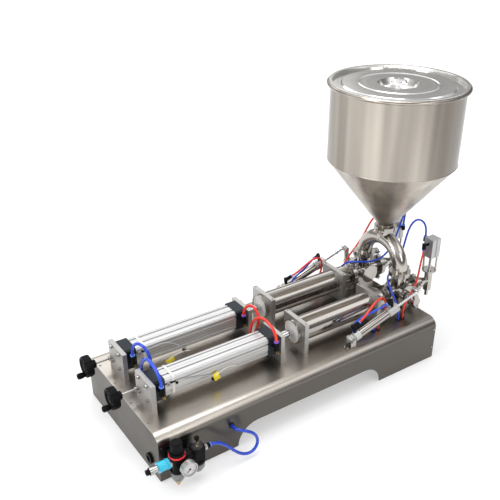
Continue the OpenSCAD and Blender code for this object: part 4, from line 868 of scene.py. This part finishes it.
def addHandwheel(lane, y):
    along, body, black = (1, 0, 0), lane + "_wheel", "black_plastic"
    start = at(wheelFacts["x"], y, wheelFacts["z"])
    rim = turned(wheelFacts["rim"], start, along, 96, wheelShape)
    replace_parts(makePiece(lane + "HandwheelRim", rim, wheelPlastic, body), lane + "_handwheel")
    screw = turned(screwProfile(screwFacts), start, along, 18)
    shoulders = [turned(shoulderProfile(screwFacts, *shoulder), start, along, 32, closed=True)
                 for shoulder in screwFacts["shoulders"]]
    makePiece(lane + "AdjustingScrew", joined(screw, *shoulders), boltSteel, body, 80)
    makePiece(lane + "WheelBolt", turned(wheelFacts["bolt"], start, along, 6), wheelPlastic, body, 20)
    dx, dy, dz = wheelFacts["gripPlace"]
    gripStart = at(wheelFacts["x"] + dx, y + dy, wheelFacts["z"] + dz)
    grip = turned(wheelFacts["grip"], gripStart, along, 36)
    grip = makePiece(lane + "RevolvingGrip", grip, wheelPlastic, lane + "_knob", 50)
    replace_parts(grip, lane + "_grip")
    spindle = turned(wheelFacts["spindle"], gripStart, along, 20)
    makePiece(lane + "GripSpindle", spindle, boltSteel, body)


for lane, y in wheelFacts["lanes"]:
    addHandwheel(lane, y)
print("handwheels turned")


# Pressure gauge: bezel, dial with ticks and plain numbers, glass
gaugeFacts = {
    "x": -412.0,
    "z": 77.0,
    "face": -275.0,
    "radius": 20.0,
    "first": 225,  # degrees, from the dial's right
    "sweep": 270,
    "steps": 10,
    "marks": 50,
    "innerMarks": 28,
    "arcParts": 60,
    "boldMark": (13.2, 15.8, 0.55),  # inner and outer radius, width
    "fineMark": (14.4, 15.8, 0.25),
    "longMark": (8.2, 9.9, 0.3),
    "shortMark": (8.2, 9.4, 0.3),
    "arcMark": (15.9, 16.15, 1.25),
    "markDepth": 2.8,
    "numberRadius": 11.5,
    "numberDepth": 2.78,
    "numberSize": 0.0034,
    "bezel": [(2.9, 3), (1.2, 3), (0.3, 2.4), (0, 1.5), (0.1, 0.7), (0.7, 0.15), (1.6, 0), (4.6, 0),
              (4.9, 0.25), (4.9, 1.5)],  # depth, and how far inside the radius
    "dial": [(2.85, 0), (2.85, 17.1)],
    "glass": [(1.3, 17), (1.1, 15), (0.9, 0)],
    "neck": [(14.0, 0), (14.0, 6.5), (17, 6.5), (18, 5.5), (23.8, 5.5), (23.8, 0)],
    "dialWhite": (0.66, 0.66, 0.65),
    "dialBlack": (0.02, 0.02, 0.025),
    "dialRed": (0.55, 0.02, 0.02),
    "speck": 900.0,
    "dark": 0.96,
    "light": 1.04,
    "roughness": 0.5,
}


def dialPoint(degrees, radius, depth):
    turn = math.radians(degrees)
    return at(gaugeFacts["x"] + radius * math.cos(turn), gaugeFacts["face"] + depth,
              gaugeFacts["z"] + radius * math.sin(turn))


def dialMark(share, kind):  # share of the sweep
    inner, outer, width = gaugeFacts[kind]
    degrees, depth = gaugeFacts["first"] - gaugeFacts["sweep"] * share, gaugeFacts["markDepth"]
    turn = math.radians(degrees)
    across = Vector((-math.sin(turn), 0, math.cos(turn))) * width / 2000
    a, b = dialPoint(degrees, inner, depth), dialPoint(degrees, outer, depth)
    return [a - across, a + across, b + across, b - across], [(0, 1, 2, 3)]


def dialNumber(step, paint):
    words = bpy.data.curves.new("gaugeNumber%d" % step, "FONT")
    words.body, words.size = str(step), gaugeFacts["numberSize"]
    words.align_x, words.align_y = "CENTER", "CENTER"
    words.materials.append(paint)
    number = link("gaugeNumber%d" % step, words)
    degrees = gaugeFacts["first"] - gaugeFacts["sweep"] * step / gaugeFacts["steps"]
    place = dialPoint(degrees, gaugeFacts["numberRadius"], gaugeFacts["numberDepth"])
    number.matrix_world = Matrix.Translation(place) @ Matrix.Rotation(math.pi / 2, 4, "X")
    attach(number, "machine")


def flatPaint(name, colour):
    paint = Paint(name)
    speck = paint.noise(paint.place(), gaugeFacts["speck"], 2.0)
    speckled = paint.between(speck, tint(colour, gaugeFacts["dark"]), tint(colour, gaugeFacts["light"]))
    return paint.shade({"Base Color": speckled, "Roughness": gaugeFacts["roughness"]})


def addGauge(facts):
    radius, away = facts["radius"], (0, 1, 0)
    start = at(facts["x"], facts["face"], facts["z"])
    bezel = [(depth, radius - back) for depth, back in facts["bezel"]]
    white, black, red = [flatPaint(name, facts[name]) for name in ("dialWhite", "dialBlack", "dialRed")]
    makePiece("gaugeBezel", turned(bezel, start, away, 72), milledPlate, sharp=60)
    makePiece("gaugeDial", turned(facts["dial"], start, away, 72), white)
    makePiece("gaugeGlassDisc", turned(facts["glass"], start, away, 72), gaugeGlass)
    marks, group = facts["marks"], facts["marks"] // facts["steps"]
    bold = [dialMark(k / marks, "boldMark") for k in range(0, marks + 1, group)]
    fine = [dialMark(k / marks, "fineMark") for k in range(marks + 1) if k % group]
    arc = [dialMark((k + 0.5) / facts["arcParts"], "arcMark") for k in range(facts["arcParts"])]
    inner = [dialMark(k / facts["innerMarks"], "shortMark" if k % 2 else "longMark")
             for k in range(facts["innerMarks"] + 1)]
    makePiece("gaugeScale", joined(*bold, *fine, *arc), black)
    makePiece("gaugeInnerScale", joined(*inner), red)
    for step in range(0, facts["steps"] + 1, 2):
        dialNumber(step, black)
    makePiece("gaugeNeck", turned(facts["neck"], start, away, 6), brass, sharp=20)


addGauge(gaugeFacts)
print("gauge dressed")


# Air preparation: collars and cover plates, the bowls' inner parts, rings and the ribbed sleeve
airFacts = {
    "regulator": (-424, -235),
    "lubricator": (-371, -235),
    "collarRibs": (24, 0.45),  # number and depth
    "lipRibs": (12, 0.5),
    "knobRibs": (20, 0.5),
    "sleeveRibs": (20, 0.7),
    "coverPlate": (8.5, -16.6, 92),
    "sleevePlace": (-474.3, -235, 85),
    "oilOffset": 4,
    "oilHeights": (31, 36, 42, 48, 54, 59),
    "oilRadius": 1.6,
}
airProfiles = {  # distance along the axis and radius
    "collar": [(53.2, 17.2), (53.2, 18.6), (54, 19.0), (61, 19.0), (62.2, 18.4), (62.2, 16.0), (60, 16.0)],
    "lip": [(49.5, 17.05), (49.5, 17.9), (50.5, 18.0), (52.4, 18.0), (53.2, 17.5), (53.2, 17.05)],
    "coverPlate": [(0, 0), (0, 2.2), (0.3, 2.6), (1.2, 2.8)],
    "redRing": [(98.2, 17.5), (98.2, 19.6), (98.8, 20.2), (102.6, 20.2), (103.4, 19.4), (103.4, 17.5)],
    "element": [(31, 0), (31, 6.5), (32, 7.6), (48, 7.6), (48.6, 7.0), (49, 3)],
    "stem": [(48, 0), (48, 5.2), (49, 5.8), (57.5, 5.8), (58, 7.5), (60, 7.5)],
    "baffle": [(27.4, 0), (27.4, 3), (28.2, 9.0), (29.0, 9.4), (30.2, 3.4), (31.2, 3.0)],
    "strainer": [(27.5, 0), (27.5, 2.4), (28.2, 3.0), (32.6, 3.0), (33.4, 2.2), (33.4, 0)],
    "sightStem": [(98.2, 0), (98.2, 3.4), (100, 3.6), (101, 2.4), (106, 2.4), (107, 3.6), (111.4, 3.6),
                  (111.4, 0)],
    "sightFloor": [(98.3, 0), (98.3, 13.2)],
    "knobGrip": [(119.6, 5.3), (119.6, 5.9), (120.2, 6.2), (125.0, 6.2), (125.6, 5.6), (125.6, 5.0)],
    "sleeve": [(1.2, 11.1), (1.2, 11.9), (2, 12.1), (26, 12.1), (26.8, 11.9), (26.8, 11.1)],
    "knobBand": [(111.2, 14.2), (111.2, 15.2), (112, 15.6), (114.6, 15.6), (115.4, 15.2), (115.4, 14.2)],
}


def ribbed(count, depth):
    return lambda angle, distance, radius: radius - depth * (0.5 + 0.5 * math.cos(count * angle))


def upright(profileName, foot, sides, ribs=None, closed=False):
    shape = ribbed(*airFacts[ribs]) if ribs else None
    return turned(airProfiles[profileName], foot, (0, 0, 1), sides, shape, closed)


def addBowlRings(name, x, y):
    foot = at(x, y, 0)
    collar, lip = upright("collar", foot, 96, "collarRibs"), upright("lip", foot, 72, "lipRibs", True)
    makePiece(name + "BowlCollar", collar, blackPlastic, sharp=40)
    makePiece(name + "BowlLip", lip, clearBowl, sharp=40)
    dx, dy, z = airFacts["coverPlate"]
    for side, word in ((-1, "Left"), (1, "Right")):  # cover plates on the block's front
        plate = turned(airProfiles["coverPlate"], at(x + side * dx, y + dy, z), (0, 1, 0), 20)
        makePiece(name + word + "Plug", plate, blackPlastic)


def addRegulatorPieces(x, y):
    foot = at(x, y, 0)
    makePiece("regulatorRedRing", upright("redRing", foot, 72, closed=True), redRing)
    makePiece("filterElement", upright("element", foot, 32), whitePlastic)
    makePiece("filterStem", upright("stem", foot, 24), brass)
    makePiece("filterBaffle", upright("baffle", foot, 32), whitePlastic)
    band = upright("knobBand", foot, 72, closed=True)
    makePiece("knobBand", band, blackPlastic, "pressure_knob")
    sleeve = turned(airProfiles["sleeve"], at(*airFacts["sleevePlace"]), (1, 0, 0), 100,
                    ribbed(*airFacts["sleeveRibs"]), True)
    makePiece("sleeveRibs", sleeve, cyanPlastic, "sleeve", 50)


def addLubricatorPieces(x, y):
    foot, oilX = at(x, y, 0), x + airFacts["oilOffset"]
    oilTube = tube([at(oilX, y, z) for z in airFacts["oilHeights"]], airFacts["oilRadius"], 12)
    makePiece("oilTube", oilTube, clearBowl)
    makePiece("oilStrainer", upright("strainer", at(oilX, y, 0), 16), brass)
    makePiece("sightStem", upright("sightStem", foot, 20), brass)
    makePiece("sightFloor", upright("sightFloor", foot, 40), blackPlastic)
    grip = upright("knobGrip", foot, 60, "knobRibs", True)
    makePiece("oilKnobGrip", grip, blackPlastic, "oil_knob")


for name in ("regulator", "lubricator"):
    addBowlRings(name, *airFacts[name])
addRegulatorPieces(*airFacts["regulator"])
addLubricatorPieces(*airFacts["lubricator"])
print("air preparation dressed")


# Small things on the lanes: round sensors, their white straps and plugs, yellow tags on ties
bandFacts = {"x": -357.0, "z": 185, "half": 28.35, "corner": 10.35, "cornerSteps": 6, "width": 7.0,
             "thick": 0.8}
smallFacts = {
    "lanes": (("near", -77), ("far", 77)),
    "sensor": (-371.0, 195.0, 5.6),  # x, z and radius
    "sensorFace": 27.9,
    "plug": ((-351.0, -31, -8), (-345.0, -27.8, -1)),
    "plugEdge": 0.8,
    "tags": {"near": (-240, -108.4, 166, -17), "far": (-290, 42, 145, 66)},  # place and turn
    "tagSize": (17, 1.2, 24),
    "tagEdge": 0.5,
    "tagBack": 2,
    "tie": [(-4, -3.4, 3), (8, -3.2, 10), (26, -3, 15), (44, -3, 14), (58, -2, 8)],
    "tieRadius": 1.0,
}


def barrelBand(y):  # a tie band round the rounded square barrel
    half, corner, thick = bandFacts["half"], bandFacts["corner"], bandFacts["thick"]
    flat, outline = half - corner, []
    for cx, cz, first in ((1, 1, 0), (-1, 1, 90), (-1, -1, 180), (1, -1, 270)):
        for k in range(bandFacts["cornerSteps"] + 1):
            turn = math.radians(first + 90 * k / bandFacts["cornerSteps"])
            outline.append((cx * flat + corner * math.cos(turn), cz * flat + corner * math.sin(turn)))
    vertices, count = [], len(outline)
    left, right = bandFacts["x"] - bandFacts["width"] / 2, bandFacts["x"] + bandFacts["width"] / 2
    for x, proud in ((left, 0), (left, thick), (right, thick), (right, 0)):
        for dy, dz in outline:
            grow = 1 + proud / math.hypot(dy, dz)
            vertices.append(at(x, y + dy * grow, bandFacts["z"] + dz * grow))
    return vertices, [face for row in range(3) for face in belt(row * count, count)]


def addSensor(lane, y, facts):
    x, z, r = facts["sensor"]
    makePiece(lane + "SensorStrap", barrelBand(y), whiteTie, sharp=40)
    button = [(0, 0), (0, r), (2.4, r), (3.4, r - 0.8), (3.5, 2.4), (2.6, 2.2), (2.5, 0)]
    body = turned(button, at(x, y - facts["sensorFace"], z), (0, -1, 0), 36)
    makePiece(lane + "SensorBody", body, sensorGrey)
    low, high = [(px, y + py, z + pz) for px, py, pz in facts["plug"]]
    makePiece(lane + "SensorPlug", slab(low, high, facts["plugEdge"]), blackPlastic)


def addTag(lane, facts):
    x, y, z, degrees = facts["tags"][lane]
    w, d, h = [size / 2 for size in facts["tagSize"]]
    turn, back = Matrix.Rotation(math.radians(degrees), 3, "Y"), y - facts["tagBack"]
    card = slab((x - w, back - d, z - h), (x + w, back + d, z + h), facts["tagEdge"], 2, turn)
    makePiece(lane + "CableTag", card, yellowTag)
    tie = tube(smoothRoute([(x + dx, y + dy, z + dz) for dx, dy, dz in facts["tie"]]), facts["tieRadius"], 8)
    makePiece(lane + "TagTie", tie, whiteTie)


for lane, y in smallFacts["lanes"]:
    addSensor(lane, y, smallFacts)
    addTag(lane, smallFacts)
print("small things added")


# Hopper: weld beads at the cone's two ends
weldFacts = {
    "x": 406.4,
    "beads": (("wallWeld", 179.8, 573.85, 0.9), ("neckWeld", 22.4, 373.85, 1.3)),  # radius, height, thickness
    "beadSides": 12,
    "sides": 160,
}


def addWelds(facts):
    turns = [2 * math.pi * k / facts["beadSides"] for k in range(facts["beadSides"])]
    for name, radius, z, thick in facts["beads"]:
        ring = [(z + thick * math.sin(turn), radius + thick * math.cos(turn)) for turn in turns]
        bead = turned(ring, at(facts["x"], 0, 0), (0, 0, 1), facts["sides"], closed=True)
        makePiece(name, bead, hopperSteelWithPaintedBands)


addWelds(weldFacts)
print("hopper welded")
